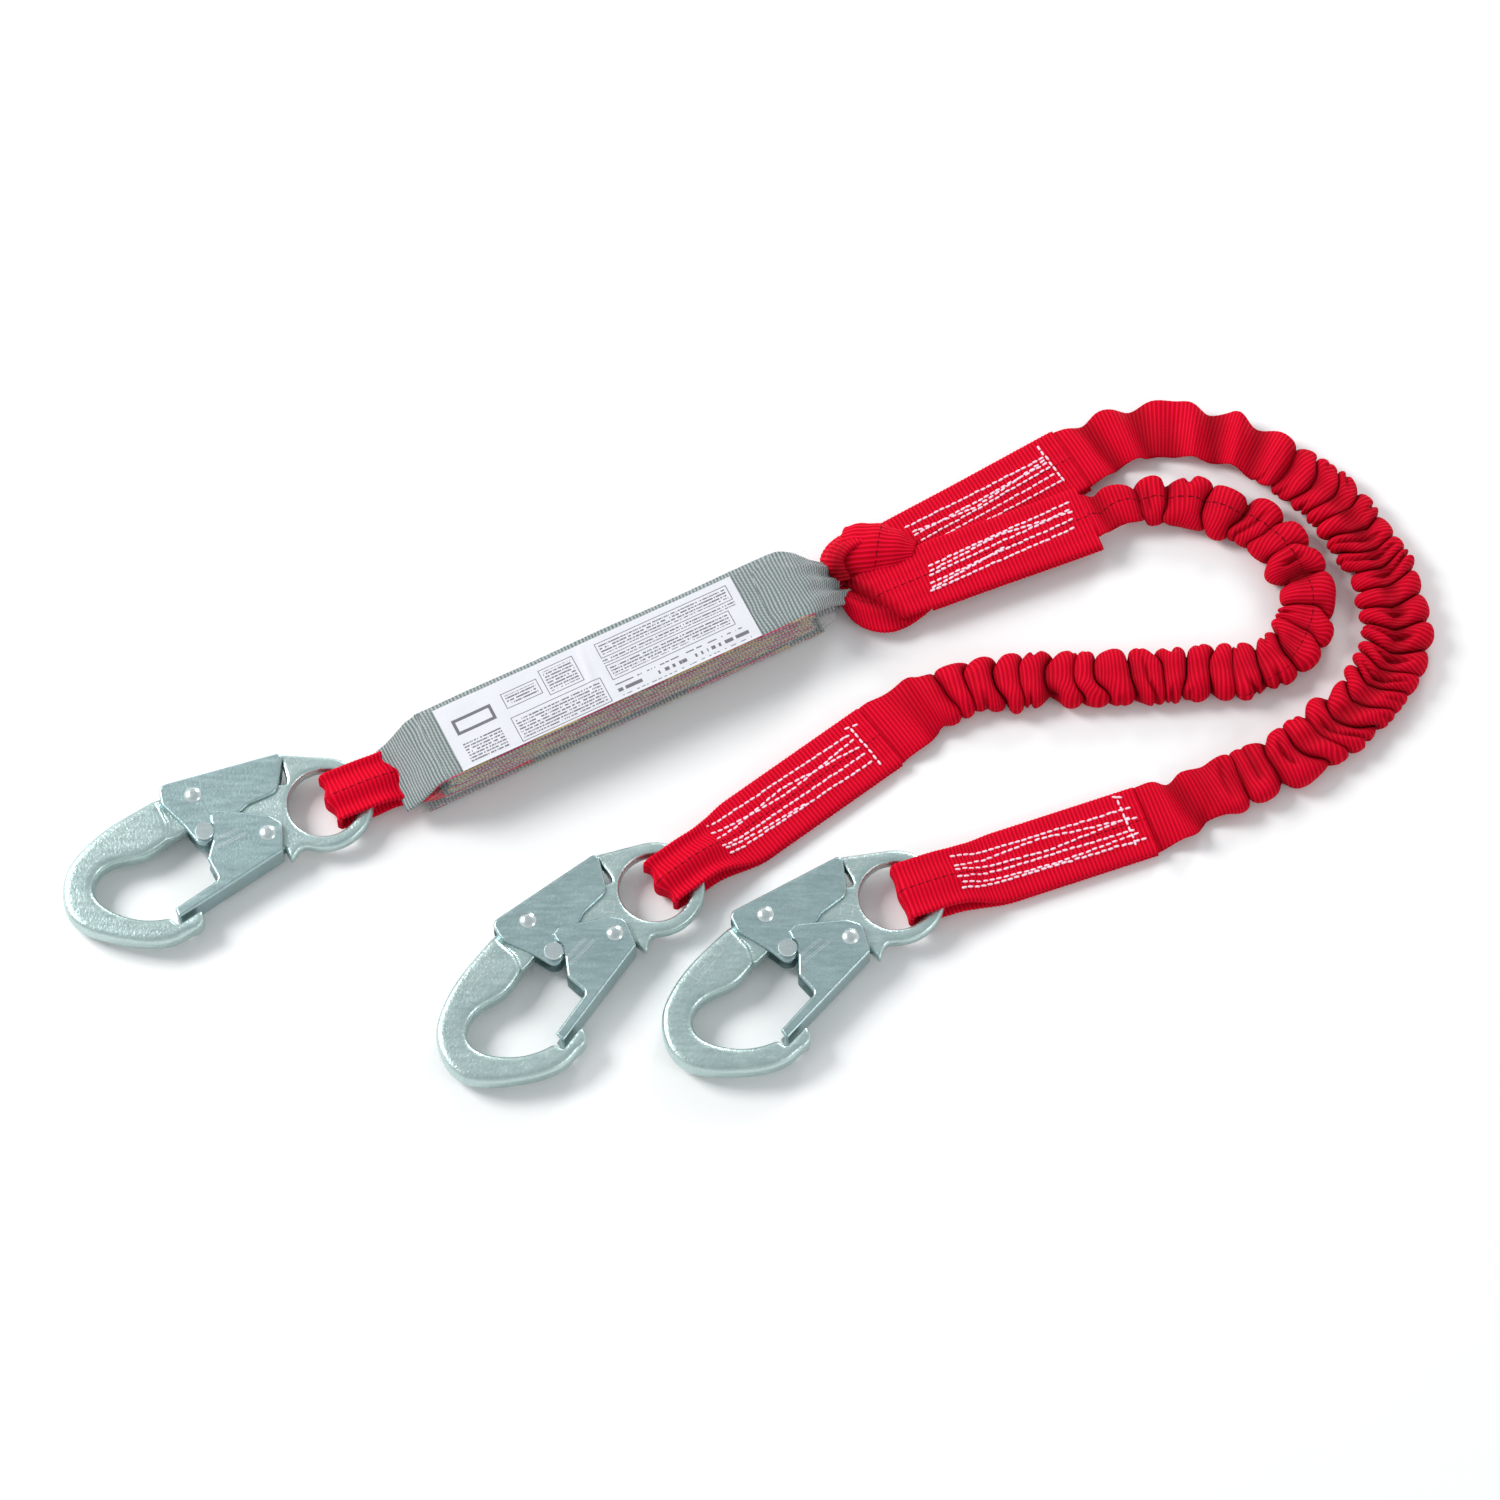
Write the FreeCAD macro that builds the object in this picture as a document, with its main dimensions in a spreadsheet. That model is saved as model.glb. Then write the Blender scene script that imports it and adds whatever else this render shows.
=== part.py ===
import FreeCAD, Part
import math
import os
import re
import Sketcher

# Twin-leg shock absorbing lanyard, laid flat on a surface at z = 0.
# A folded tear-web pack joins one harness hook to two elastic stretch legs, and each leg ends in
# a self-locking snap hook.  Millimetres, +Z up, origin under the middle of the rigid pieces.

V = FreeCAD.Vector
UP = V(0, 0, 1)

doc = FreeCAD.newDocument("ShockAbsorbingLanyard")
sizes = doc.addObject("Spreadsheet::Sheet", "Sizes")

DRIVING_SIZES = {
    # webbing
    "web_width": 34.0,
    "web_ply": 2.6,
    "tab_thickness": 6.0,
    "choke_thickness": 4.6,
    "loop_width": 24.0,
    # stretch legs
    "leg_width": 30.0,
    "leg_thickness": 12.0,
    "jacket_wall": 2.0,
    "elastic_width": 24.0,
    "elastic_thickness": 5.0,
    # energy absorber pack
    "pack_length": 212.0,
    "cover_width": 41.0,
    "cover_height": 30.6,
    "cover_wall": 0.6,
    "tear_web_width": 36.0,
    "tear_web_ply": 2.4,
    "label_length": 150.0,
    "label_width": 33.0,
    "label_thickness": 0.3,
    # snap hook forging
    "shank_thickness": 7.2,
    "bowl_thickness": 10.6,
    "eye_radius": 16.0,
    "eye_rim": 6.5,
    "forging_fillet": 2.6,
    "rim_fillet": 1.6,
    # snap hook pressed parts
    "plate_gauge": 1.5,
    "side_gap": 0.2,
    "rivet_radius": 2.2,
    "rivet_fit": 0.05,
    "rivet_head_radius": 3.8,
    "rivet_head_rise": 1.3,
    "lock_head_radius": 4.4,
    "spring_wire": 1.1,
    "spring_coil_radius": 3.6,
    # thread
    "thread_width": 0.8,
    "thread_rise": 0.4,
}

for row, (alias, value) in enumerate(DRIVING_SIZES.items(), start=1):
    sizes.set(f"A{row}", alias)
    sizes.set(f"B{row}", str(value))
    sizes.setAlias(f"B{row}", alias)
doc.recompute()


def size(alias):
    """One driving dimension, as the sheet holds it."""
    return float(sizes.get(alias))


# ---------------------------------------------------------------- shared building steps

subparts = []


def place(x, y, z, yaw_deg=0.0):
    return FreeCAD.Placement(V(x, y, z), FreeCAD.Rotation(UP, yaw_deg))


def bind(obj, **expressions):
    """Tie properties of an object to expressions on the sheet."""
    for prop, expression in expressions.items():
        obj.setExpression(prop, expression)


def new_body(label):
    body = doc.addObject("PartDesign::Body", label)
    body.Label = label
    subparts.append(body)
    return body


def new_feature(label, shape, placement):
    piece = doc.addObject("Part::Feature", label)
    piece.Label = label
    piece.Shape = shape
    piece.Placement = placement
    subparts.append(piece)
    return piece


def new_sketch(body, name, role="XY_Plane"):
    sketch = body.newObject("Sketcher::SketchObject", f"{body.Name}_{name}")
    plane = [feature for feature in body.Origin.OriginFeatures if feature.Role == role][0]
    sketch.AttachmentSupport = (plane, [""])
    sketch.MapMode = "FlatFace"
    return sketch


def outline(start, *steps):
    """Closed outline.  A step is a corner (x, y), an arc ("arc", middle, end) or a smooth
    curve ("curve", point, point, ..., end)."""
    edges = []
    here = V(*start, 0)
    for step in steps:
        if step[0] == "arc":
            middle, end = V(*step[1], 0), V(*step[2], 0)
            edges.append(Part.Arc(here, middle, end))
        elif step[0] == "curve":
            points = [here] + [V(*point, 0) for point in step[1:]]
            spline = Part.BSplineCurve()
            spline.interpolate(points)
            edges.append(spline)
            end = points[-1]
        else:
            end = V(*step, 0)
            edges.append(Part.LineSegment(here, end))
        here = end
    if here.distanceToPoint(V(*start, 0)) > 1e-6:
        edges.append(Part.LineSegment(here, V(*start, 0)))
    return edges


def box_outline(x0, y0, x1, y1):
    return outline((x0, y0), (x1, y0), (x1, y1), (x0, y1))


def rounded_box_outline(x0, y0, x1, y1, r):
    k = r * (1 - math.sqrt(0.5))
    return outline(
        (x0 + r, y0),
        (x1 - r, y0),
        ("arc", (x1 - k, y0 + k), (x1, y0 + r)),
        (x1, y1 - r),
        ("arc", (x1 - k, y1 - k), (x1 - r, y1)),
        (x0 + r, y1),
        ("arc", (x0 + k, y1 - k), (x0, y1 - r)),
        (x0, y0 + r),
        ("arc", (x0 + k, y0 + k), (x0 + r, y0)),
    )


def cornered_outline(*corners):
    """Closed polygon of corners (x, y, radius), each rounded by an arc tangent to both sides."""
    edges = []
    ends = []
    count = len(corners)
    for index, (x, y, r) in enumerate(corners):
        corner = V(x, y, 0)
        back = V(*corners[index - 1][:2], 0) - corner
        ahead = V(*corners[(index + 1) % count][:2], 0) - corner
        back.normalize()
        ahead.normalize()
        if r == 0:
            ends.append((corner, corner))
            continue
        half = back.getAngle(ahead) / 2
        trim = r / math.tan(half)
        inwards = back + ahead
        inwards.normalize()
        first, last = corner + back * trim, corner + ahead * trim
        middle = corner + inwards * (r / math.sin(half) - r)
        edges.append(Part.Arc(first, middle, last))
        ends.append((first, last))
    for index in range(count):
        edges.append(Part.LineSegment(ends[index - 1][1], ends[index][0]))
    return edges


def pad(body, name, edges, length, role="XY_Plane"):
    """Pad an outline to both sides of its plane; length is a sheet expression."""
    sketch = new_sketch(body, name + "_sketch", role)
    sketch.addGeometry(edges, False)
    feature = body.newObject("PartDesign::Pad", f"{body.Name}_{name}")
    feature.Profile = sketch
    feature.SideType = "Symmetric"
    bind(feature, Length=length)
    doc.recompute()
    return feature


def pocket(body, name, edges, length, role="XY_Plane"):
    """Cut an outline to both sides of its plane, and check that it removed something."""
    before = body.Shape.Volume
    sketch = new_sketch(body, name + "_sketch", role)
    sketch.addGeometry(edges, False)
    feature = body.newObject("PartDesign::Pocket", f"{body.Name}_{name}")
    feature.Profile = sketch
    feature.SideType = "Symmetric"
    bind(feature, Length=length)
    doc.recompute()
    if not body.Shape.Volume < before - 1e-3:
        raise RuntimeError(f"{body.Label}: {name} cut nothing")
    return feature


def drill(body, name, centre, radius):
    """Through hole of a sheet-driven radius about an axis along Z."""
    before = body.Shape.Volume
    sketch = new_sketch(body, name + "_sketch")
    circle = sketch.addGeometry(Part.Circle(V(*centre, 0), UP, 2.0), False)
    sketch.addConstraint(Sketcher.Constraint("DistanceX", -1, 1, circle, 3, centre[0]))
    sketch.addConstraint(Sketcher.Constraint("DistanceY", -1, 1, circle, 3, centre[1]))
    rule = sketch.addConstraint(Sketcher.Constraint("Radius", circle, 2.0))
    sketch.renameConstraint(rule, "hole_radius")
    sketch.setExpression("Constraints.hole_radius", radius)
    feature = body.newObject("PartDesign::Pocket", f"{body.Name}_{name}")
    feature.Profile = sketch
    feature.SideType = "Symmetric"
    feature.Type = "ThroughAll"
    doc.recompute()
    if not body.Shape.Volume < before - 1e-3:
        raise RuntimeError(f"{body.Label}: {name} cut nothing")
    return feature


def round_edges(body, name, radius, wanted):
    """Fillet the edges of the body's last feature that `wanted` picks."""
    base = body.Tip
    names = []
    for number, edge in enumerate(base.Shape.Edges, start=1):
        if wanted(edge):
            names.append(f"Edge{number}")
    feature = body.newObject("PartDesign::Fillet", f"{body.Name}_{name}")
    feature.Base = (base, names)
    bind(feature, Radius=radius)
    doc.recompute()
    return feature


def turned(body, name, edges):
    """Revolve a half profile, drawn in the XZ plane, once about the body's Z axis."""
    sketch = new_sketch(body, name + "_sketch", "XZ_Plane")
    sketch.addGeometry(edges, False)
    feature = body.newObject("PartDesign::Revolution", f"{body.Name}_{name}")
    feature.Profile = sketch
    feature.ReferenceAxis = (sketch, ["V_Axis"])
    feature.Angle = 360
    doc.recompute()
    return feature


# ---------------------------------------------------------------- snap hooks

# Hook frame: origin at the middle of the eye, x towards the webbing, y towards the lever's spine,
# z across the forging, whose mid-plane is z = 0.
LEVER_PIVOT = (-50.3, 30.8)
GATE_PIVOT = (-29.3, -2.7)
LOCK_PIN = (-53.7, 11.9)
HOOK_MID_HEIGHT = 8.6

LEVER_HALF = "(shank_thickness / 2 + side_gap + plate_gauge)"
GATE_HALF = "(shank_thickness / 2 + 2 * side_gap + 2 * plate_gauge)"


def on_sheet(expression):
    """Write a formula of aliases as an expression on the sheet."""
    return re.sub(r"[a-z_]+", lambda word: "Sizes." + word.group(), expression)


def lever_half():
    return size("shank_thickness") / 2 + size("side_gap") + size("plate_gauge")


def gate_half():
    return lever_half() + size("side_gap") + size("plate_gauge")


def hook_forging(label):
    """Forged body: eye, shank that holds both rivets, and the thicker bowl that ends in the nose."""
    body = new_body(label)
    rim = size("eye_radius") + size("eye_rim")
    peak = V(-6.2, 30.6, 0)
    rim_top = math.atan2(peak.y, peak.x) - math.acos(rim / peak.Length)
    rim_side, rim_foot = math.radians(-36.0), math.radians(-134.0)
    neck = 4.0
    neck_x = (rim + neck) * math.cos(rim_foot)
    neck_y = (rim + neck) * math.sin(rim_foot)
    neck_end = (neck_x - neck * 0.5, neck_y + neck * math.sqrt(0.75))
    foot_x = -25.4
    foot_y = neck_end[1] - (neck_end[0] - foot_x) / math.sqrt(3)
    shank = outline(
        (-69.0, 37.2),
        (-54.0, 36.4),
        (-47.0, 36.0),
        (-10.5, 15.85),
        ("arc", (-8.6, 22.7), (-7.85, 28.6)),
        (peak.x, peak.y),
        (rim * math.cos(rim_top), rim * math.sin(rim_top)),
        (
            "arc",
            (rim * math.cos(rim_side), rim * math.sin(rim_side)),
            (rim * math.cos(rim_foot), rim * math.sin(rim_foot)),
        ),
        ("arc", (neck_x, neck_y + neck), neck_end),
        (foot_x, foot_y),
        (-25.4, -10.9),
        ("arc", (-29.3, -11.9), (-32.6, -11.3)),
        (-50.2, -4.6),
        ("curve", (-51.4, -1.5), (-50.8, 5.0), (-50.2, 11.5), (-52.6, 16.0), (-58.0, 17.2)),
        (-69.0, 16.5),
    )
    pad(body, "shank", shank, on_sheet("shank_thickness"))
    shank_face = size("shank_thickness") / 2
    round_edges(
        body,
        "ring_rounding",
        on_sheet("rim_fillet"),
        lambda edge: (
            abs(abs(edge.CenterOfMass.z) - shank_face) < 0.01
            and edge.CenterOfMass.x > -24
            and (edge.CenterOfMass.x > 0 or edge.CenterOfMass.y < 0)
        ),
    )
    bowl = outline(
        (-66.3, 37.3),
        ("curve", (-80, 36.6), (-95, 34.6), (-106, 31.2), (-115.5, 26), (-122, 18), (-125.3, 8),
         (-124.3, 0), (-120, -7), (-111, -15.8), (-101, -23.2), (-92.5, -27.2), (-86, -28.3)),
        (-78.5, -27.8),
        ("arc", (-73.2, -25.8), (-72.2, -21.0)),
        (-84.7, -22.6),
        (-86.0, -17.2),
        ("curve", (-93, -14.6), (-100.5, -9.6), (-106.2, -3.2), (-109.8, 3.5), (-110.3, 9.5),
         (-107.6, 14.6), (-102.8, 17.6), (-96.5, 18.2), (-89.5, 16.6), (-82, 14.8), (-76, 15.2),
         (-70.2, 16.4)),
        (-66.6, 24.0),
    )
    pad(body, "bowl", bowl, on_sheet("bowl_thickness"))
    face = size("bowl_thickness") / 2
    round_edges(
        body,
        "forged_rounding",
        on_sheet("forging_fillet"),
        lambda edge: abs(abs(edge.CenterOfMass.z) - face) < 0.01 and edge.Length > 40,
    )
    drill(body, "eye", (0.0, 0.0), on_sheet("eye_radius"))
    round_edges(
        body,
        "eye_rounding",
        on_sheet("rim_fillet"),
        lambda edge: abs(abs(edge.CenterOfMass.z) - shank_face) < 0.01 and edge.Closed,
    )
    # slot for the lever's torsion spring, open along the top of the shank
    px, py = LEVER_PIVOT
    slot = outline(
        (px - 5.8, py + 12),
        (px - 5.8, py),
        ("arc", (px, py - 5.8), (px + 5.8, py)),
        (-32.0, 21.5),
        (-32.0, py + 12),
    )
    pocket(body, "spring_slot", slot, on_sheet("spring_wire * 2 + 0.8"))
    drill(body, "lever_rivet_hole", LEVER_PIVOT, on_sheet("rivet_radius"))
    drill(body, "gate_rivet_hole", GATE_PIVOT, on_sheet("rivet_radius"))
    return body


def hook_lever(label):
    """Thumb lever: a pressed channel that straddles the shank, spine outwards."""
    body = new_body(label)
    cheek = cornered_outline(
        (-62.4, 42.45, 4.0),
        (-4.9, 30.4, 2.5),
        (-16.0, 14.0, 6.0),
        (-31.0, 14.6, 5.0),
        (-58.5, 4.6, 4.5),
        (-60.9, 19.0, 8.0),
        (-65.2, 33.0, 7.0),
    )
    pad(body, "channel", cheek, on_sheet(f"2 * {LEVER_HALF}"))
    inside = cornered_outline(
        (-75.0, 43.55, 0),
        (-8.6, 29.63, 0),
        (-8.6, 45.0, 0),
        (-2.0, 45.0, 0),
        (-2.0, 0.0, 0),
        (-75.0, 0.0, 0),
    )
    pocket(body, "hollow", inside, on_sheet("shank_thickness + 2 * side_gap"))
    drill(body, "rivet_hole", LEVER_PIVOT, on_sheet("rivet_radius + rivet_fit"))
    drill(body, "lock_pin_hole", LOCK_PIN, on_sheet("rivet_radius"))
    face = lever_half()
    round_edges(
        body,
        "fold",
        on_sheet("plate_gauge * 0.8"),
        lambda edge: abs(abs(edge.CenterOfMass.z) - face) < 0.01 and edge.Length > 45,
    )
    return body


def hook_gate(label):
    """Gate: a pressed channel whose cheeks straddle lever and shank, notched round the lock pin."""
    body = new_body(label)
    cheek = cornered_outline(
        (-82.9, -20.6, 1.2),
        (-82.2, -15.7, 1.0),
        (-58.8, -12.4, 2.5),
        (-58.8, -1.0, 2.0),
        (-51.5, 7.5, 0),
        (-48.4, 17.6, 0.8),
        (-44.0, 18.4, 2.2),
        (-25.0, 4.9, 6.0),
        (-20.9, -1.8, 5.0),
        (-27.2, -13.65, 0.8),
    )
    pad(body, "channel", cheek, on_sheet(f"2 * {GATE_HALF}"))
    inside = outline(
        (-90.0, -19.95),
        (-20.0, -11.2),
        (-16.0, 25.0),
        (-90.0, 25.0),
    )
    pocket(body, "hollow", inside, on_sheet("shank_thickness + 4 * side_gap + 2 * plate_gauge"))
    drill(body, "lock_notch", LOCK_PIN, on_sheet("lock_head_radius + 0.5"))
    drill(body, "rivet_hole", GATE_PIVOT, on_sheet("rivet_radius + rivet_fit"))
    face = gate_half()
    round_edges(
        body,
        "fold",
        on_sheet("plate_gauge * 0.8"),
        lambda edge: abs(abs(edge.CenterOfMass.z) - face) < 0.01 and edge.Length > 50,
    )
    return body


def domed_rivet(label, bearing_height):
    """Solid rivet with a low dome over each bearing face; the very crown of the dome is flat."""
    body = new_body(label)
    shaft, head, rise = size("rivet_radius"), size("rivet_head_radius"), size("rivet_head_rise")
    top = bearing_height + rise
    crown = head * 0.2
    side, shoulder = head * 0.68, bearing_height + rise * 0.68
    profile = outline(
        (0, -top),
        (crown, -top),
        ("arc", (side, -shoulder), (head, -bearing_height)),
        (shaft, -bearing_height),
        (shaft, bearing_height),
        (head, bearing_height),
        ("arc", (side, shoulder), (crown, top)),
        (0, top),
    )
    turned(body, "rivet", profile)
    return body


def lock_pin(label):
    """Pin that the lever carries across the gate's notches; its flat heads lie level with the gate."""
    body = new_body(label)
    shaft, head = size("rivet_radius"), size("lock_head_radius")
    inner, outer, bevel = lever_half(), gate_half(), 0.5
    profile = outline(
        (0, -outer),
        (head - bevel, -outer),
        (head, -outer + bevel),
        (head, -inner),
        (shaft, -inner),
        (shaft, inner),
        (head, inner),
        (head, outer - bevel),
        (head - bevel, outer),
        (0, outer),
    )
    turned(body, "pin", profile)
    return body


def spring_ring(height):
    ring = Part.makeTorus(size("spring_coil_radius"), size("spring_wire") / 2)
    ring.translate(V(0, 0, height))
    return ring


def spring_leg(start, end):
    along = end - start
    return Part.makeCylinder(size("spring_wire") / 2, along.Length, start, along)


def gate_spring_shape():
    """Two torsion coils on the gate rivet, one each side of the shank, each with a leg that
    presses on the gate's back."""
    level = (size("shank_thickness") / 2 + gate_half() - size("plate_gauge")) / 2
    radius = size("spring_coil_radius")
    coils = []
    for height in (-level, level):
        leg = spring_leg(V(0, -radius, height), V(-20.0, -radius - 6.0, height))
        coils.append(spring_ring(height).fuse(leg).removeSplitter())
    return Part.makeCompound(coils)


def lever_spring_shape():
    """Torsion coil on the lever rivet, in the shank's slot, with a leg under the lever's spine."""
    radius, wire = size("spring_coil_radius"), size("spring_wire")
    coil = spring_ring(-wire * 0.45).fuse(spring_ring(wire * 0.45))
    leg = spring_leg(V(radius * 0.5, radius * 0.87, 0), V(14.0, 3.9, 0))
    return coil.fuse(leg).removeSplitter()


def build_hook(number, eye_x, eye_y, yaw_deg):
    """All eight pieces of one self-locking snap hook, placed on its eye."""
    name = f"hook_{number}_"
    frame = place(eye_x, eye_y, HOOK_MID_HEIGHT, yaw_deg)
    at_lever = frame.multiply(place(*LEVER_PIVOT, 0))
    at_gate = frame.multiply(place(*GATE_PIVOT, 0))
    at_pin = frame.multiply(place(*LOCK_PIN, 0))
    play = size("rivet_fit")
    hook_forging(name + "body").Placement = frame
    hook_gate(name + "gate").Placement = frame
    hook_lever(name + "lever").Placement = frame
    domed_rivet(name + "gate_rivet", gate_half() + play).Placement = at_gate
    domed_rivet(name + "lever_rivet", lever_half() + play).Placement = at_lever
    lock_pin(name + "lock_pin").Placement = at_pin
    new_feature(name + "gate_spring", gate_spring_shape(), at_gate)
    new_feature(name + "lever_spring", lever_spring_shape(), at_lever)


# Eye centre and heading of each hook; the heading is the hook frame's x axis.
HOOKS = {
    1: (-130.4, -28.0, 28.7),
    2: (19.2, -69.5, 48.0),
    3: (126.9, -73.5, 41.2),
}
for number, (eye_x, eye_y, heading) in HOOKS.items():
    build_hook(number, eye_x, eye_y, heading)


# ---------------------------------------------------------------- webbing loops and tabs

# Height of the lowest web above the surface, so that it rests there without digging in.
FLOOR_GAP = 0.3


def eye_loop_outlines(tab_low, tab_end):
    """Side view of a web loop that passes through a hook's eye and closes into a two-ply tab."""
    ply = size("web_ply")
    clear = size("shank_thickness") / 2 + 0.6
    bend_x = 10.0
    tab_top = tab_low + size("tab_thickness")
    outer = outline(
        (bend_x, clear + ply),
        ("arc", (bend_x - clear - ply, 0), (bend_x, -clear - ply)),
        (25.0, -clear - ply),
        (31.0, tab_low),
        (tab_end, tab_low),
        (tab_end, tab_top),
        (39.0, tab_top),
        (27.0, clear + ply),
    )
    inner = outline(
        (bend_x, clear),
        ("arc", (bend_x - clear, 0), (bend_x, -clear)),
        (25.5, -clear),
        (31.5, tab_low + ply),
        (31.5, min(tab_top - ply, 0.0)),
        (25.5, clear),
    )
    return outer + inner


def end_tab(label, placement, tab_end):
    """Loop through a hook's eye, gathered to the loop's width, with the full-width sewn tab."""
    body = new_body(label)
    low = FLOOR_GAP - HOOK_MID_HEIGHT
    pad(body, "loop", eye_loop_outlines(low, 44.0), on_sheet("loop_width"), "XZ_Plane")
    tab = box_outline(38.0, low, tab_end, low + size("tab_thickness"))
    pad(body, "tab", tab, on_sheet("web_width"), "XZ_Plane")
    body.Placement = placement
    return body


def stitching(label, placement, start, end, top, rows=5, spacing=4.6):
    """Rows of lock stitch along a tab, closed by a bar across the end."""
    wide, rise = size("thread_width"), size("thread_rise")
    half = (rows - 1) * spacing / 2
    lines = []
    for row in range(rows):
        y = row * spacing - half
        lines.append(Part.makeBox(end - start, wide, rise, V(start, y - wide / 2, top)))
    lines.append(Part.makeBox(wide, 2 * half + wide, rise, V(end + 1.0, -half - wide / 2, top)))
    return new_feature(label, Part.makeCompound(lines), placement)


# Leg B ends at hook 2, leg A at hook 3.
END_TABS = {
    "b": (2, 37.3, 127.7),
    "a": (3, 19.3, 120.3),
}
for leg, (hook, heading, tab_end) in END_TABS.items():
    eye_x, eye_y, _ = HOOKS[hook]
    frame = place(eye_x, eye_y, HOOK_MID_HEIGHT, heading)
    end_tab(f"leg_{leg}_end_tab", frame, tab_end)
    top = FLOOR_GAP - HOOK_MID_HEIGHT + size("tab_thickness")
    stitching(f"leg_{leg}_end_stitching", frame, 48.0, tab_end - 8.0, top)

# Top tabs: both choke round the pack's end loop at this point.  Each tab's frame has its origin
# there and its x axis along the tab.
CHOKE = (106.9, 86.4)


def flat_pad(body, name, edges, bottom, height):
    """Pad an outline upwards from a level; height is a sheet expression."""
    sketch = new_sketch(body, name + "_sketch")
    sketch.addGeometry(edges, False)
    sketch.AttachmentOffset = place(0, 0, bottom)
    feature = body.newObject("PartDesign::Pad", f"{body.Name}_{name}")
    feature.Profile = sketch
    bind(feature, Length=height)
    doc.recompute()


def top_tab(label, heading, low, choke_low, choke_end, tab_start, tab_end, side):
    """Two-ply tab whose loop passes flat through the pack's end loop and back round it."""
    body = new_body(label)
    half_web = size("web_width") / 2
    choke = rounded_box_outline(-6, -20, choke_end, 20, 6) + rounded_box_outline(6, -14, 19, 14, 3)
    tab = box_outline(tab_start, side - half_web, tab_end, side + half_web)
    flat_pad(body, "choke", choke, choke_low, on_sheet("choke_thickness"))
    flat_pad(body, "tab", tab, low, on_sheet("tab_thickness"))
    body.Placement = place(*CHOKE, 0, heading)
    return body


TAB_A_HEADING, TAB_A_LOW = 30.75, FLOOR_GAP
TAB_B_HEADING, TAB_B_LOW, TAB_B_SIDE = 21.5, 6.8, -13.2
top_tab("leg_a_top_tab", TAB_A_HEADING, TAB_A_LOW, 4.3, 29.0, 24.0, 121.5, 0.0)
top_tab("leg_b_top_tab", TAB_B_HEADING, TAB_B_LOW, 10.3, 44.0, 33.0, 114.6, TAB_B_SIDE)

frame_a = place(*CHOKE, 0, TAB_A_HEADING)
frame_b = place(*CHOKE, 0, TAB_B_HEADING).multiply(place(0, TAB_B_SIDE, 0))
tab_thick = size("tab_thickness")
stitching("leg_a_top_stitching", frame_a, 52.0, 112.0, TAB_A_LOW + tab_thick)
stitching("leg_b_top_stitching", frame_b, 44.0, 106.0, TAB_B_LOW + tab_thick)


# ---------------------------------------------------------------- energy absorber pack

# Pack frame: x along the pack towards the legs, y across, z = 0 on the surface.
PACK = place(-1.2, 32.0, 0.0, 26.7)


def across_pack(label, edges, width):
    """Side view in the pack's XZ plane, padded across the pack."""
    body = new_body(label)
    pad(body, "web", edges, width, "XZ_Plane")
    body.Placement = PACK
    return body


def folded_web_outline(low, layers, reach, ply, gap):
    """Side view of one long web folded to and fro: flat runs joined by half-round folds."""
    edges = []
    for layer in range(layers):
        base = low + layer * (ply + gap)
        for height in (base, base + ply):
            edges.append(Part.LineSegment(V(-reach, height, 0), V(reach, height, 0)))
    for fold in range(layers - 1):
        side = 1 if fold % 2 == 0 else -1
        middle = V(side * reach, low + fold * (ply + gap) + ply + gap / 2, 0)
        for radius in (gap / 2, gap / 2 + ply):
            down, out = V(0, radius, 0), V(side * radius, 0, 0)
            edges.append(Part.Arc(middle - down, middle + out, middle + down))
    last_side = reach if layers % 2 == 1 else -reach
    top = low + (layers - 1) * (ply + gap)
    for x, base in ((-reach, low), (last_side, top)):
        edges.append(Part.LineSegment(V(x, base, 0), V(x, base + ply, 0)))
    return edges


inner_half = size("cover_width") / 2 - size("cover_wall")
cover = new_body("shrink_cover")
cover_section = rounded_box_outline(
    -size("cover_width") / 2, 0, size("cover_width") / 2, size("cover_height"), 4.0
) + rounded_box_outline(
    -inner_half, size("cover_wall"), inner_half, size("cover_height") - size("cover_wall"), 3.4
)
pad(cover, "sleeve", cover_section, on_sheet("pack_length"), "YZ_Plane")
cover.Placement = PACK

# From the bottom up: backup strap, the tails of both end loops, then the folded tear web.
STRAP_LOW, STRAP_REACH = 1.2, 100.0
TAIL_LOW, TAIL_HIGH = 3.7, 9.3
FOLDS_LOW, FOLDS_REACH, FOLD_LAYERS, FOLD_GAP = 9.7, 92.0, 7, 0.4

strap = box_outline(-STRAP_REACH, STRAP_LOW, STRAP_REACH, STRAP_LOW + size("tear_web_ply"))
across_pack("backup_strap", strap, on_sheet("tear_web_width"))
folds = folded_web_outline(FOLDS_LOW, FOLD_LAYERS, FOLDS_REACH, size("tear_web_ply"), FOLD_GAP)
across_pack("tear_web", folds, on_sheet("tear_web_width"))

label_top = size("cover_height") - size("cover_wall") - 0.2
label_middle = -7.0
label_side = box_outline(
    label_middle - size("label_length") / 2,
    label_top - size("label_thickness"),
    label_middle + size("label_length") / 2,
    label_top,
)
across_pack("pack_label", label_side, on_sheet("label_width"))

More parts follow.
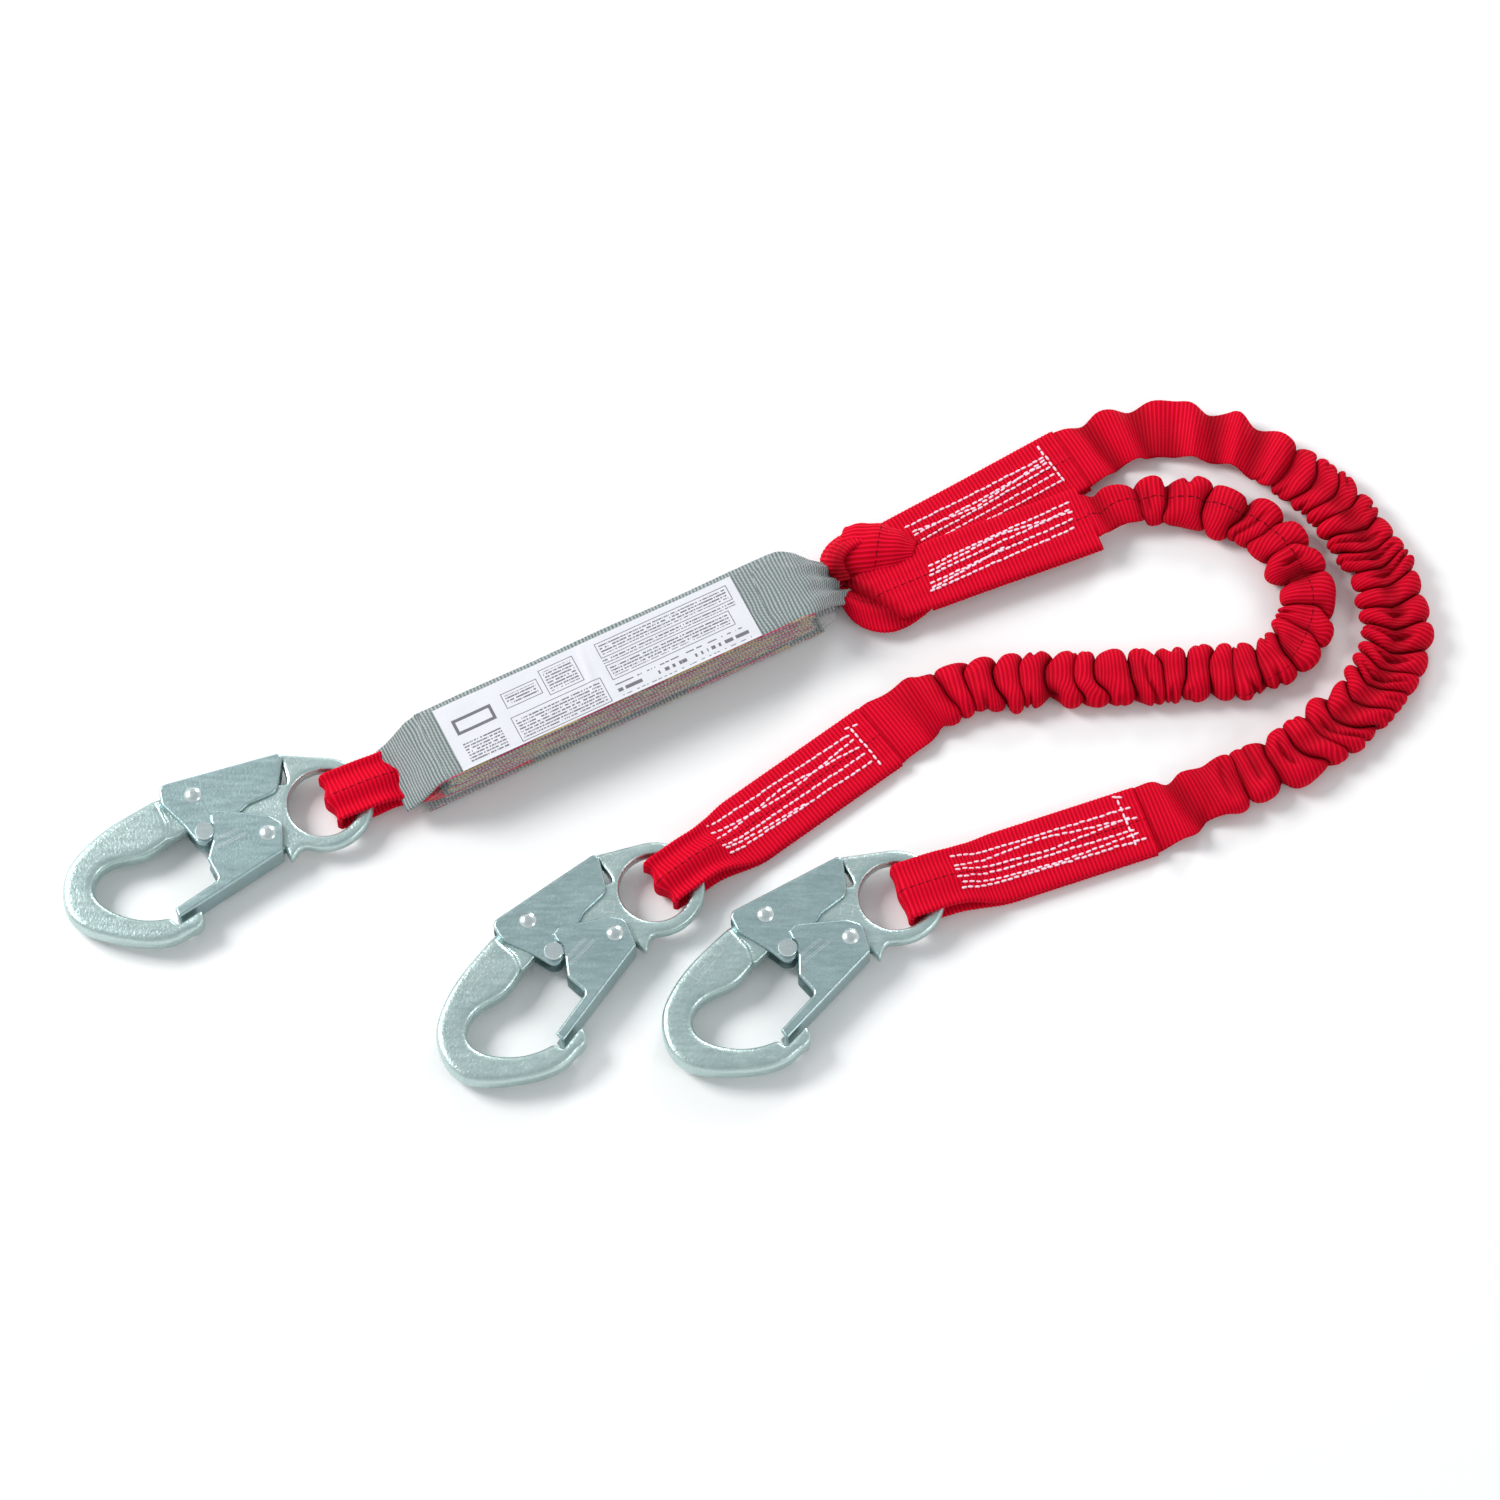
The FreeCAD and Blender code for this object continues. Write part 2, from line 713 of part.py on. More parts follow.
# End loop of the pack: two plies sewn in the pack, opening into the eye that the legs choke.
gray_loop = new_body("pack_end_loop")
loop_side = outline(
    (70.0, TAIL_LOW),
    (104.0, TAIL_LOW),
    (110.0, 1.0),
    (126.0, 1.0),
    ("arc", (136.0, 11.0), (126.0, 21.0)),
    (113.5, 21.0),
    (104.0, TAIL_HIGH),
    (70.0, TAIL_HIGH),
) + outline(
    (106.0, 6.5),
    (112.0, 3.6),
    (126.0, 3.6),
    ("arc", (133.4, 11.0), (126.0, 18.4)),
    (116.0, 18.4),
)
gray_tails = box_outline(30.0, TAIL_LOW, 100.0, TAIL_HIGH)
pad(gray_loop, "loop", loop_side, on_sheet("loop_width"), "XZ_Plane")
pad(gray_loop, "tails", gray_tails, on_sheet("tear_web_width"), "XZ_Plane")
gray_loop.Placement = PACK

# Hook 1's loop is red web whose tails run into the pack under the folded tear web.
eye_x, eye_y, _ = HOOKS[1]
tail_low = TAIL_LOW - HOOK_MID_HEIGHT
red_loop = new_body("hook_loop")
pad(red_loop, "loop", eye_loop_outlines(tail_low, 44.0), on_sheet("loop_width"), "XZ_Plane")
red_tails = box_outline(36.0, tail_low, 95.0, TAIL_HIGH - HOOK_MID_HEIGHT)
pad(red_loop, "tails", red_tails, on_sheet("web_width"), "XZ_Plane")
red_loop.Placement = place(eye_x, eye_y, HOOK_MID_HEIGHT, 24.0)


# ---------------------------------------------------------------- stretch legs

LEG_MID_HEIGHT = 6.5

# Hand-laid routes, x and y in mm, from the top tab to the hook's tab.
LEG_ROUTES = {
    "a": [
        (211.3, 148.5), (231.9, 160.75), (253.8, 163.5), (276.8, 160), (299.8, 151), (319.8, 137),
        (336.8, 119), (349.8, 98), (357.8, 75), (358.8, 52), (349.8, 33), (332.8, 15), (313.8, 1),
        (295.8, -9), (276.3, -17.5), (257.4, -27.8), (240.4, -33.75),
    ],
    "b": [
        (218.4, 116.1), (237.3, 123.5), (258.8, 125.3), (280.8, 120.5), (299.8, 109), (313.8, 91),
        (318.3, 70), (310.3, 51), (292.8, 40.5), (270.8, 38), (246.8, 37.5), (222.8, 34.5),
        (198.8, 35.5), (175.8, 34), (153.8, 28.5), (136.7, 20.0), (120.8, 7.9),
    ],
}


def rounded_route(name, points):
    """Straight runs joined by tangent arcs, each as large as its two runs allow."""
    corners = [V(x, y, LEG_MID_HEIGHT) for x, y in points]
    edges, radii = [], []
    here = corners[0]
    for before, corner, after in zip(corners, corners[1:], corners[2:]):
        to_before, to_after = before - corner, after - corner
        run = min(to_before.Length, to_after.Length)
        to_before.normalize()
        to_after.normalize()
        turn = math.pi - to_before.getAngle(to_after)
        radius = 0.45 * run / math.tan(turn / 2)
        radii.append(radius)
        first, last = corner + to_before * 0.45 * run, corner + to_after * 0.45 * run
        inwards = to_before + to_after
        inwards.normalize()
        centre = corner + inwards * (radius / math.cos(turn / 2))
        middle = centre - inwards * radius
        edges.append(Part.LineSegment(here, first).toShape())
        edges.append(Part.Arc(first, middle, last).toShape())
        here = last
    edges.append(Part.LineSegment(here, corners[-1]).toShape())
    wire = Part.Wire(edges)
    print(name, "length", round(wire.Length, 1), "radii", [round(radius) for radius in radii])
    return wire


def flat_section(start, along, width, thickness):
    """Flattened round section: two flats closed by half circles, square to the route."""
    across = UP.cross(along)
    across.normalize()
    flat, r = (width - thickness) / 2, thickness / 2
    left, right = start + across * flat, start - across * flat
    rise = UP * r
    return Part.Wire([
        Part.LineSegment(left + rise, right + rise).toShape(),
        Part.Arc(right + rise, right - across * r, right - rise).toShape(),
        Part.LineSegment(right - rise, left - rise).toShape(),
        Part.Arc(left - rise, left + across * r, left + rise).toShape(),
    ])


def swept(route, section, label):
    """Solid of one section carried along the route with its flats level."""
    sweep = Part.BRepOffsetAPI.MakePipeShell(route)
    sweep.setBiNormalMode(UP)
    sweep.add(section)
    sweep.build()
    sweep.makeSolid()
    solid = sweep.shape()
    expected = Part.Face(section).Area * route.Length
    print(label, "volume", round(solid.Volume), "section x length", round(expected))
    return solid


for leg, points in LEG_ROUTES.items():
    route = rounded_route(f"leg_{leg}", points)
    start = route.Edges[0].Vertexes[0].Point
    along = V(points[1][0] - points[0][0], points[1][1] - points[0][1], 0)
    wall = size("jacket_wall")
    outer = flat_section(start, along, size("leg_width"), size("leg_thickness"))
    hollow = flat_section(start, along, size("leg_width") - 2 * wall, size("leg_thickness") - 2 * wall)
    strip = flat_section(start, along, size("elastic_width"), size("elastic_thickness"))
    jacket = swept(route, outer, f"leg_{leg}_jacket").cut(swept(route, hollow, "its hollow"))
    new_feature(f"leg_{leg}_jacket", jacket, FreeCAD.Placement())
    new_feature(f"leg_{leg}_elastic", swept(route, strip, f"leg_{leg}_elastic"), FreeCAD.Placement())


# ---------------------------------------------------------------- checks and export

doc.recompute()
for obj in doc.Objects:
    if "Invalid" in obj.State or "Error" in obj.State:
        raise RuntimeError(f"{obj.Label} is {obj.State}")
for piece in subparts:
    if piece.Shape.isNull() or not piece.Shape.isValid() or not piece.Shape.Solids:
        raise RuntimeError(f"{piece.Label} has no valid solid")

os.makedirs("parts", exist_ok=True)
for piece in subparts:
    piece.Shape.exportStep(f"parts/{piece.Label}.step")
print(len(subparts), "sub-parts written")
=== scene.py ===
import math

import bmesh
import bpy
import numpy as np
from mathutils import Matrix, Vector


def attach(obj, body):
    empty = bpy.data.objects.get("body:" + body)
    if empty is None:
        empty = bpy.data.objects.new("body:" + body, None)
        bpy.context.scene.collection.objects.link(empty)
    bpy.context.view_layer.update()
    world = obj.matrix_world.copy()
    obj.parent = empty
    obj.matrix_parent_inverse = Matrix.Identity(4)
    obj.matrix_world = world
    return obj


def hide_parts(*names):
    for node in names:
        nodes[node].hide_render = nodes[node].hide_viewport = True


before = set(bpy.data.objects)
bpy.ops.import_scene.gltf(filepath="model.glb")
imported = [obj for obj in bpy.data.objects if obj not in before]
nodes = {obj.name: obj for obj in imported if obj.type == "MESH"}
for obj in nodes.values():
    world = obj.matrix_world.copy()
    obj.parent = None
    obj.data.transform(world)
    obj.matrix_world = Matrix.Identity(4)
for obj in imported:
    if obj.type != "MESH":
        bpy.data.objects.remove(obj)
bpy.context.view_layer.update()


# ---------------- table and camera
# The lanyard lies spread out on a plain pale table top under wide, soft lamps, and is looked at
# steeply from the side where its two leg hooks lie.
scene = bpy.context.scene
look_at = Vector((0.0618, 0.003, 0.0))
camera_rise = math.radians(66)
camera_away = 2.70
camera_data = bpy.data.cameras.new("bench_camera")
camera_data.lens = 142.5
camera_data.sensor_width = 36
camera_data.clip_end = 20
camera = bpy.data.objects.new("bench_camera", camera_data)
camera.location = look_at + camera_away * Vector((0, -math.cos(camera_rise), math.sin(camera_rise)))
camera.rotation_euler = (math.pi / 2 - camera_rise, 0, 0)
scene.collection.objects.link(camera)
scene.camera = camera
scene.view_settings.view_transform = "Standard"


def add_node(tree, kind, settings=(), **feeds):
    """New shader node of a kind.  Each feed sets an input (spaces written as _) or links to it."""
    node = tree.nodes.new("ShaderNode" + kind)
    for key, value in dict(settings).items():
        setattr(node, key, value)
    for label, value in feeds.items():
        feed(node.inputs[label.replace("_", " ")], value)
    return node


def feed(socket, value):
    """Link an output to a socket, or set the socket's own value."""
    if isinstance(value, bpy.types.NodeSocket):
        socket.id_data.links.new(value, socket)
    else:
        socket.default_value = value


def figure(operation, *terms):
    """Result of a Math node on sockets or numbers, at least one of them a socket."""
    tree = next(term.id_data for term in terms if isinstance(term, bpy.types.NodeSocket))
    node = add_node(tree, "Math", {"operation": operation})
    for socket, term in zip(node.inputs, terms):
        feed(socket, term)
    return node.outputs[0]


def times(first, second):
    return figure("MULTIPLY", first, second)


def times_plus(first, second, more):
    return figure("MULTIPLY_ADD", first, second, more)


def noise(place, scale, detail, **more):
    """Noise of 0 to 1 at a place."""
    node = add_node(place.id_data, "TexNoise", Vector=place, Scale=scale, Detail=detail, **more)
    return node.outputs["Fac"]


def cloth_noise(cloth, scale, detail):
    """Noise of 0 to 1 on the cloth, scale grains to the metre."""
    place = add_node(cloth.id_data, "VectorMath", {"operation": "SCALE"}, Vector=cloth, Scale=scale)
    return noise(place.outputs[0], 1.0, detail)


def cloth_place(tree):
    """Place on the cloth in metres along and across it."""
    return add_node(tree, "UVMap", {"uv_map": "cloth"}).outputs["UV"]


def piece_place(tree):
    return add_node(tree, "TexCoord").outputs["Object"]


def parts_of(vector):
    return add_node(vector.id_data, "SeparateXYZ", Vector=vector).outputs


def bumped(shader, strength, distance, height):
    """Bump a surface by a height of 0 to 1, and give the Bump node."""
    bump = add_node(height.id_data, "Bump", Strength=strength, Distance=distance, Height=height)
    feed(shader["Normal"], bump.outputs["Normal"])
    return bump


def blended(share, first, second):
    """Colour between first and second by a share that changes over the surface."""
    node = add_node(share.id_data, "Mix", {"data_type": "RGBA"})
    for number, value in ((0, share), (6, first), (7, second)):
        feed(node.inputs[number], value)
    return node.outputs[2]


def between(value, low, high):
    """Value of 0 to 1 carried to the range from low to high."""
    return add_node(value.id_data, "MapRange", Value=value, To_Min=low, To_Max=high).outputs[0]


def within(x, y, middle_x, middle_y, wide, tall):
    """1 within a rectangle of x and y, 0 outside it."""
    return times(figure("COMPARE", x, middle_x, wide / 2), figure("COMPARE", y, middle_y, tall / 2))


def new_material(name, **settings):
    """Material with a Principled BSDF whose own sockets hold the settings."""
    material = bpy.data.materials.new(name)
    material.use_nodes = True
    shader = material.node_tree.nodes["Principled BSDF"]
    for label, value in settings.items():
        shader.inputs[label.replace("_", " ")].default_value = value
    return material, material.node_tree, shader.inputs


def new_group(name, place, numbers, results):
    """Shader group with a vector input, number inputs with their defaults, and number outputs."""
    group = bpy.data.node_groups.new(name, "ShaderNodeTree")
    face = group.interface
    face.new_socket(place, in_out="INPUT", socket_type="NodeSocketVector")
    for label, value in numbers.items():
        face.new_socket(label, in_out="INPUT", socket_type="NodeSocketFloat").default_value = value
    for label in results:
        face.new_socket(label, in_out="OUTPUT", socket_type="NodeSocketFloat")
    given = group.nodes.new("NodeGroupInput").outputs
    return group, given, group.nodes.new("NodeGroupOutput").inputs


def finished(obj, material, node, body="webbing"):
    """Give a new piece its material and its body, and hide the CAD node that it stands for."""
    obj.data.materials.append(material)
    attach(obj, body)
    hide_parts(node)
    return obj


table_material, tree, shader = new_material("table_top", Roughness=0.6)
cloud = noise(piece_place(tree), 6.0, 3.0)
feed(shader["Base Color"], blended(cloud, (0.83, 0.83, 0.83, 1), (0.87, 0.87, 0.87, 1)))
reach = 4.0
table_mesh = bpy.data.meshes.new("table_top")
corners = [(-reach, -reach, 0), (reach, -reach, 0), (reach, reach, 0), (-reach, reach, 0)]
table_mesh.from_pydata(corners, [], [(0, 1, 2, 3)])
table_mesh.materials.append(table_material)
table = bpy.data.objects.new("table_top", table_mesh)
scene.collection.objects.link(table)

world = bpy.data.worlds.new("soft_room")
world.use_nodes = True
room = world.node_tree
sky = add_node(room, "TexCoord").outputs["Generated"]
rise = parts_of(sky)["Z"]
backdrop = room.nodes["Background"].inputs["Color"]
feed(backdrop, blended(rise, (0.94, 0.94, 0.94, 1), (0.44, 0.47, 0.49, 1)))
scene.world = world
for name, spot, width, power in (
    ("lamp_left", (-1.45, 0.55, 1.35), 0.8, 37),
    ("lamp_far", (0.7, 1.9, 1.0), 0.7, 17),
    ("lamp_right", (1.7, -0.9, 1.0), 0.6, 6),
):
    light = bpy.data.lights.new(name, "AREA")
    light.size = width
    light.energy = power
    lamp = bpy.data.objects.new(name, light)
    lamp.location = spot
    lamp.rotation_euler = (-Vector(spot)).to_track_quat("-Z", "Y").to_euler()
    scene.collection.objects.link(lamp)


# ---------------- stretch legs
# Each leg is a tubular red jacket, woven flat and gathered over a rubber elastic that is shorter
# than it, so that the jacket ruches up.  Both ends run in between the plies of a sewn tab.
leg_level = 0.0065
leg_routes = {
    "a": [
        (0.2113, 0.1485), (0.2319, 0.16075), (0.2538, 0.1635), (0.2768, 0.160), (0.2998, 0.151),
        (0.3198, 0.137), (0.3368, 0.119), (0.3498, 0.098), (0.3578, 0.075), (0.3588, 0.052),
        (0.3498, 0.033), (0.3328, 0.015), (0.3138, 0.001), (0.2958, -0.009), (0.2763, -0.0175),
        (0.2574, -0.0278), (0.2404, -0.03375),
    ],
    "b": [
        (0.2184, 0.1161), (0.2373, 0.1235), (0.2588, 0.1253), (0.2808, 0.1205), (0.2998, 0.109),
        (0.3138, 0.091), (0.3183, 0.070), (0.3103, 0.051), (0.2928, 0.0405), (0.2708, 0.038),
        (0.2468, 0.0375), (0.2228, 0.0345), (0.1988, 0.0355), (0.1758, 0.034), (0.1538, 0.0285),
        (0.1367, 0.020), (0.1208, 0.0079),
    ],
}


def run_along(line):
    """Distance from the line's start to each of its points."""
    return np.concatenate([[0], np.cumsum(np.linalg.norm(np.diff(line, axis=0), axis=1))])


def line_at(line, run, places):
    """Points of a line at distances along it."""
    return np.stack([np.interp(places, run, line[:, k]) for k in range(3)], axis=-1)


def spots_of(mesh):
    """Coordinates of a mesh's points, a row each."""
    spots = np.empty(len(mesh.vertices) * 3)
    mesh.vertices.foreach_get("co", spots)
    return spots.reshape(-1, 3)


def laid_line(points, step):
    """Smooth line of evenly spaced points: a NURBS spline of order 3 on the laid points."""
    curve = bpy.data.curves.new("laid_line", "CURVE")
    curve.dimensions = "3D"
    curve.resolution_u = 24
    spline = curve.splines.new("NURBS")
    spline.points.add(len(points) - 1)
    for knot, point in zip(spline.points, points):
        knot.co = (*point, 1)
    spline.order_u = 3
    spline.use_endpoint_u = True
    holder = bpy.data.objects.new("laid_line", curve)
    mesh = bpy.data.meshes.new_from_object(holder)
    line = spots_of(mesh)
    bpy.data.objects.remove(holder)
    bpy.data.curves.remove(curve)
    bpy.data.meshes.remove(mesh)
    run = run_along(line)
    return line_at(line, run, np.linspace(0, run[-1], max(2, round(run[-1] / step) + 1)))


def clipped(value):
    return np.clip(value, 0, 1)


def unit(vectors):
    return vectors / np.linalg.norm(vectors, axis=-1, keepdims=True)


def hump(value):
    """Bell curve exp(-value^2)."""
    return np.exp(-(value**2))


def drawn_out(wave, power):
    """A sine or cosine drawn out towards a square wave by a power below 1."""
    return np.sign(wave) * np.abs(wave) ** power


def layered(*fields):
    """Grids that are broadcast together and stacked as the last axis."""
    return np.stack(np.broadcast_arrays(*fields), axis=-1)


def ring_quads(rings, count):
    """Point numbers of rings that close on themselves, the next ones round, and the quads between."""
    ids = np.arange(rings * count).reshape(rings, count)
    ahead = np.roll(ids, -1, axis=1)
    return ids, ahead, np.stack([ids[:-1], ahead[:-1], ahead[1:], ids[1:]], axis=-1).reshape(-1, 4)


def smooth_piece(name, points, faces):
    mesh = bpy.data.meshes.new(name)
    mesh.from_pydata(points.tolist(), [], faces)
    mesh.polygons.foreach_set("use_smooth", np.ones(len(mesh.polygons), bool))
    obj = bpy.data.objects.new(name, mesh)
    scene.collection.objects.link(obj)
    return obj


def set_painted_fold_shade(obj, depth):
    """Point attribute that the red web's colour reads as painted shade: 1 is deep in a fold."""
    layer = obj.data.attributes.new("painted_fold_shade", "FLOAT", "POINT")
    layer.data.foreach_set("value", depth.astype(np.float32))


def tube_mesh(name, points, cloth, sharp=None):
    """Closed tube from rings of points (rings, round, 3), each ring joined to the next, with a fan
    over each end.  cloth (rings, round + 1, 2) is the UV map: metres along and across the cloth."""
    rings, count = points.shape[:2]
    ids, ahead, quads = ring_quads(rings, count)
    front = layered(ahead[0], ids[0], rings * count)
    back = layered(ids[-1], ahead[-1], rings * count + 1)
    everything = np.concatenate([points.reshape(-1, 3), points[[0, -1]].mean(axis=1)])
    obj = smooth_piece(name, everything, quads.tolist() + front.tolist() + back.tolist())
    near, far = cloth[:, :-1], cloth[:, 1:]
    quad_uv = np.stack([near[:-1], far[:-1], far[1:], near[1:]], axis=2).reshape(-1, 2)
    front_uv = np.stack([far[0], near[0], near[0]], axis=1).reshape(-1, 2)
    back_uv = np.stack([near[-1], far[-1], near[-1]], axis=1).reshape(-1, 2)
    layer = obj.data.uv_layers.new(name="cloth")
    layer.data.foreach_set("uv", np.concatenate([quad_uv, front_uv, back_uv]).ravel())
    if sharp:
        obj.data.set_sharp_from_angle(angle=math.radians(sharp))
    return obj


def swell(places, *stops):
    """Smooth value along a piece from (place, value) stops."""
    at, value = zip(*stops)
    fine = np.linspace(at[0], at[-1], 400)
    eased = np.interp(fine, at, value)
    kernel = np.hanning(31)
    padded = np.pad(eased, 15, mode="edge")
    return np.interp(places, fine, np.convolve(padded, kernel / kernel.sum(), mode="valid"))


def wander(shape, grain, seed):
    """Smooth seeded noise of about -1 to 1 on a grid: a coarse random grid, cosine-blended up."""
    source = np.random.default_rng(seed).uniform(-1, 1, (grain[0] + 2, grain[1] + 2))
    axes = []
    for count, cells in zip(shape, grain):
        spots = np.linspace(0, cells, count)
        base = np.minimum(spots.astype(int), cells)
        share = (1 - np.cos(np.pi * (spots - base))) / 2
        axes.append((base, share))
    (rows, row_share), (columns, column_share) = axes
    row_share = row_share[:, None]
    blend = source[rows] * (1 - row_share) + source[rows + 1] * row_share
    return blend[:, columns] * (1 - column_share) + blend[:, columns + 1] * column_share


leg_shapes = {
    # stops of (share of the length, value): fold pitch, fold depth, half width and half height in
    # mm, height of the jacket's middle over the route in mm, how tightly the folds are pinched (0 is
    # an open wave of the flat tube), how far they meet in a chevron, and the tube's roll in turns
    "a": {
        "pitch": ((0, 27), (0.2, 28), (0.27, 20), (0.33, 11), (0.7, 10.5), (0.8, 14), (0.9, 19), (1, 26)),
        "depth": ((0, 0.2), (0.05, 1.6), (0.24, 2.0), (0.34, 2.7), (0.72, 3.1), (0.90, 3.0), (1, 0.3)),
        "width": (
            (0, 16.8), (0.05, 13.8), (0.25, 12.6), (0.34, 13),
            (0.74, 13.4), (0.86, 11.5), (0.93, 13), (1, 16.8),
        ),
        "height": ((0, 1.1), (0.08, 1.3), (0.24, 1.7), (0.36, 4.8), (0.75, 5.0), (0.92, 2.4), (1, 1.1)),
        "lift": ((0, -3.2), (0.08, -1.4), (0.36, -0.4), (0.8, -0.2), (0.92, -1.4), (1, -3.2)),
        "pinch": ((0, 0), (0.24, 0.05), (0.32, 0.8), (0.76, 1), (0.87, 0.8), (0.94, 0.05), (1, 0)),
        "chevron": ((0, 0), (0.30, 0.3), (0.38, 2.7), (0.72, 2.7), (0.82, 0.6), (1, 0)),
        "roll": ((0, -0.5), (1, -0.5)),
        "seed": 4,
    },
    "b": {
        "pitch": (
            (0, 18), (0.1, 17), (0.24, 15), (0.4, 13.5), (0.55, 12.5), (0.7, 11.5), (0.9, 11.5), (1, 26),
        ),
        "depth": ((0, 0.3), (0.04, 2.0), (0.11, 3.0), (0.5, 2.9), (0.885, 3.3), (0.93, 0.5), (1, 0.3)),
        "width": ((0, 12.5), (0.035, 8.0), (0.10, 10.8), (0.5, 10.6), (0.89, 10.8), (0.93, 15.5), (1, 16.8)),
        "height": ((0, 1.2), (0.06, 2.8), (0.14, 4.4), (0.5, 4.8), (0.88, 4.9), (0.94, 2.2), (1, 1.2)),
        "lift": ((0, 3.3), (0.05, 2.2), (0.14, -0.2), (0.85, -0.2), (0.94, -2.2), (1, -3.2)),
        "pinch": ((0, 0), (0.05, 0.4), (0.12, 0.9), (0.89, 1), (0.93, 0.1), (1, 0)),
        "chevron": ((0, 0), (0.2, 0.4), (0.45, 0.9), (0.6, 0.5), (1, 0.2)),
        "roll": ((0, 0), (0.42, 0.02), (0.55, 0.3), (0.8, 0.5), (1, 0.5)),
        "seed": 11,
    },
}
jacket_girth = 0.070
wave_height = 0.0034
core_half = 0.0021
# Least height of webbing over the table.
table_gap = 0.0004


def lay_of_folds(length, form):
    """Even places along a leg, its form's values there, the phase of its folds, and the height of
    the jacket's middle: the lift, and a sine wave where the folds aren't pinched."""
    rings, margin = 1200, 0.006
    places = np.linspace(-margin, length + margin, rings)
    share = clipped(places / length)
    value = {key: swell(share, *stops)[:, None] for key, stops in form.items() if key != "seed"}
    for key in ("pitch", "depth", "width", "height", "lift"):
        value[key] = value[key] / 1000
    value["pinch"] = clipped(value["pinch"])
    turns = np.concatenate([[0], np.cumsum(np.diff(places) / value["pitch"][1:, 0])])[:, None] * 2 * np.pi
    folds = round(float(turns[-1, 0] / (2 * np.pi)))
    swing = turns + 1.3 * wander((rings, 1), (folds, 1), form["seed"] + 9)
    wave = (1 - value["pinch"]) * clipped(value["depth"] / 0.0012)
    middle = value["lift"] + wave_height * wave * (np.sin(swing) + 0.5)
    return places, value, folds, swing, wave, middle


def ruched_jacket(name, line, form):
    """Gathered tube.  Its section is a flattened ring, across = a cos(q)^0.8 and up = b sin(q)^0.8.
    Round lobes ride on it: the surface moves out by depth x (2 |cos(f / 2)|^0.8 - 1.2), f the phase
    of the folds, and along the leg by pitch x 0.145 sin(f), which fattens the lobes and narrows the
    creases.  Dents split some lobes.  Where the pinch is low the whole flat tube waves up and down."""
    count = 76
    run = run_along(line)
    places, value, folds, swing, wave, middle = lay_of_folds(run[-1], form)
    rings = len(places)
    pitch, depth, half_width, half_height, pinch = (
        value[key] for key in ("pitch", "depth", "width", "height", "pinch")
    )
    turn = np.linspace(0, 2 * np.pi, count + 1)[None, :]
    side, rise = np.cos(turn), np.sin(turn)
    seam = ((1 + side) / 2) ** 6

    def drift(rows, columns, offset):
        """Noise round the tube that closes on itself at the seam."""
        grid = wander((rings, count + 1), (rows, columns), form["seed"] + offset)
        return grid * (1 - seam) + grid[:, :1] * seam

    warp = 1.9 * drift(folds, 4, 0) + 1.6 * drift(folds // 3, 3, 1)
    parting = np.abs(side - 0.25 * wander((rings, 1), (folds // 2, 1), form["seed"] + 12))
    phase = swing + warp * (0.12 + 0.88 * pinch) + value["chevron"] * parting
    bold = depth * (1 + 0.50 * drift(folds, 4, 2)) * (1 + 0.35 * side**2)
    bold = bold * (1 - 0.7 * clipped(-rise))
    lobe = (np.cos(phase / 2) ** 2 + 0.008) ** 0.4
    split = clipped(drift(folds, 4, 8) * 2.0 - 0.3)
    dent = hump(np.sin(phase + 0.9 * drift(folds, 3, 5)) / 0.32) * split
    out = bold * (2 * lobe - 1.2 - 0.8 * dent) * (0.1 + 0.9 * pinch)
    middle_dent = hump(side / 0.26) * clipped(rise) * value["chevron"] / 2.7
    out = out - bold * middle_dent * (0.40 + 0.60 * np.cos(phase))
    normal_side, normal_up = side / half_width, rise / half_height
    size = np.hypot(normal_side, normal_up)
    normal_side, normal_up = normal_side / size, normal_up / size
    core = core_half * (0.5 + 0.5 * pinch)
    tightest = np.hypot(0.006 * normal_side, core * normal_up)
    out = np.maximum(out, tightest - np.hypot(half_width * normal_side, half_height * normal_up))
    slide = pitch * pinch * 0.145 * np.sin(phase)

    sway = 0.0012 * wander((rings, 1), (folds, 1), form["seed"] + 3) * clipped(depth / 0.002)
    across = half_width * drawn_out(side, 0.8) + out * normal_side + sway + 0.0012 * wave * np.cos(swing)
    twisted = np.sin(swing + 0.9 * side)
    up = half_height * drawn_out(rise, 0.8) + out * normal_up + middle
    up = up + wave_height * wave * (twisted - np.sin(swing))
    floor_gap = table_gap - leg_level
    up = np.where(up < floor_gap + 0.001, floor_gap + 0.001 * np.exp((up - floor_gap) / 0.001 - 1), up)

    spots = places[:, None] + slide
    inside = np.clip(spots, 0, run[-1])
    heading = unit(line_at(unit(np.gradient(line, run, axis=0)), run, inside))
    left = layered(-heading[..., 1], heading[..., 0], 0)
    points = line_at(line, run, inside) + heading * (spots - inside)[..., None] + left * across[..., None]
    points[..., 2] += up

    weave = np.linalg.norm(np.diff(points, axis=0), axis=-1).mean(axis=1)
    cloth_run = np.concatenate([[0], np.cumsum(weave)])[:, None]
    girth = (turn / (2 * np.pi) - 0.25 + value["roll"]) * jacket_girth
    obj = tube_mesh(name, points[:, :-1], layered(cloth_run, girth))
    # Painted shade: the colour is darkened deep in the folds, in the dents and down the middle dimples.
    painted_fold_shade = clipped(1.2 - 1.15 * lobe + 0.6 * dent + 0.5 * middle_dent) * pinch
    # Painted shade: also darker where the flat tube's wave dips.
    painted_fold_shade = painted_fold_shade + 0.55 * wave * clipped(-twisted)
    set_painted_fold_shade(obj, np.concatenate([painted_fold_shade[:, :-1].ravel(), np.zeros(2)]))
    return obj


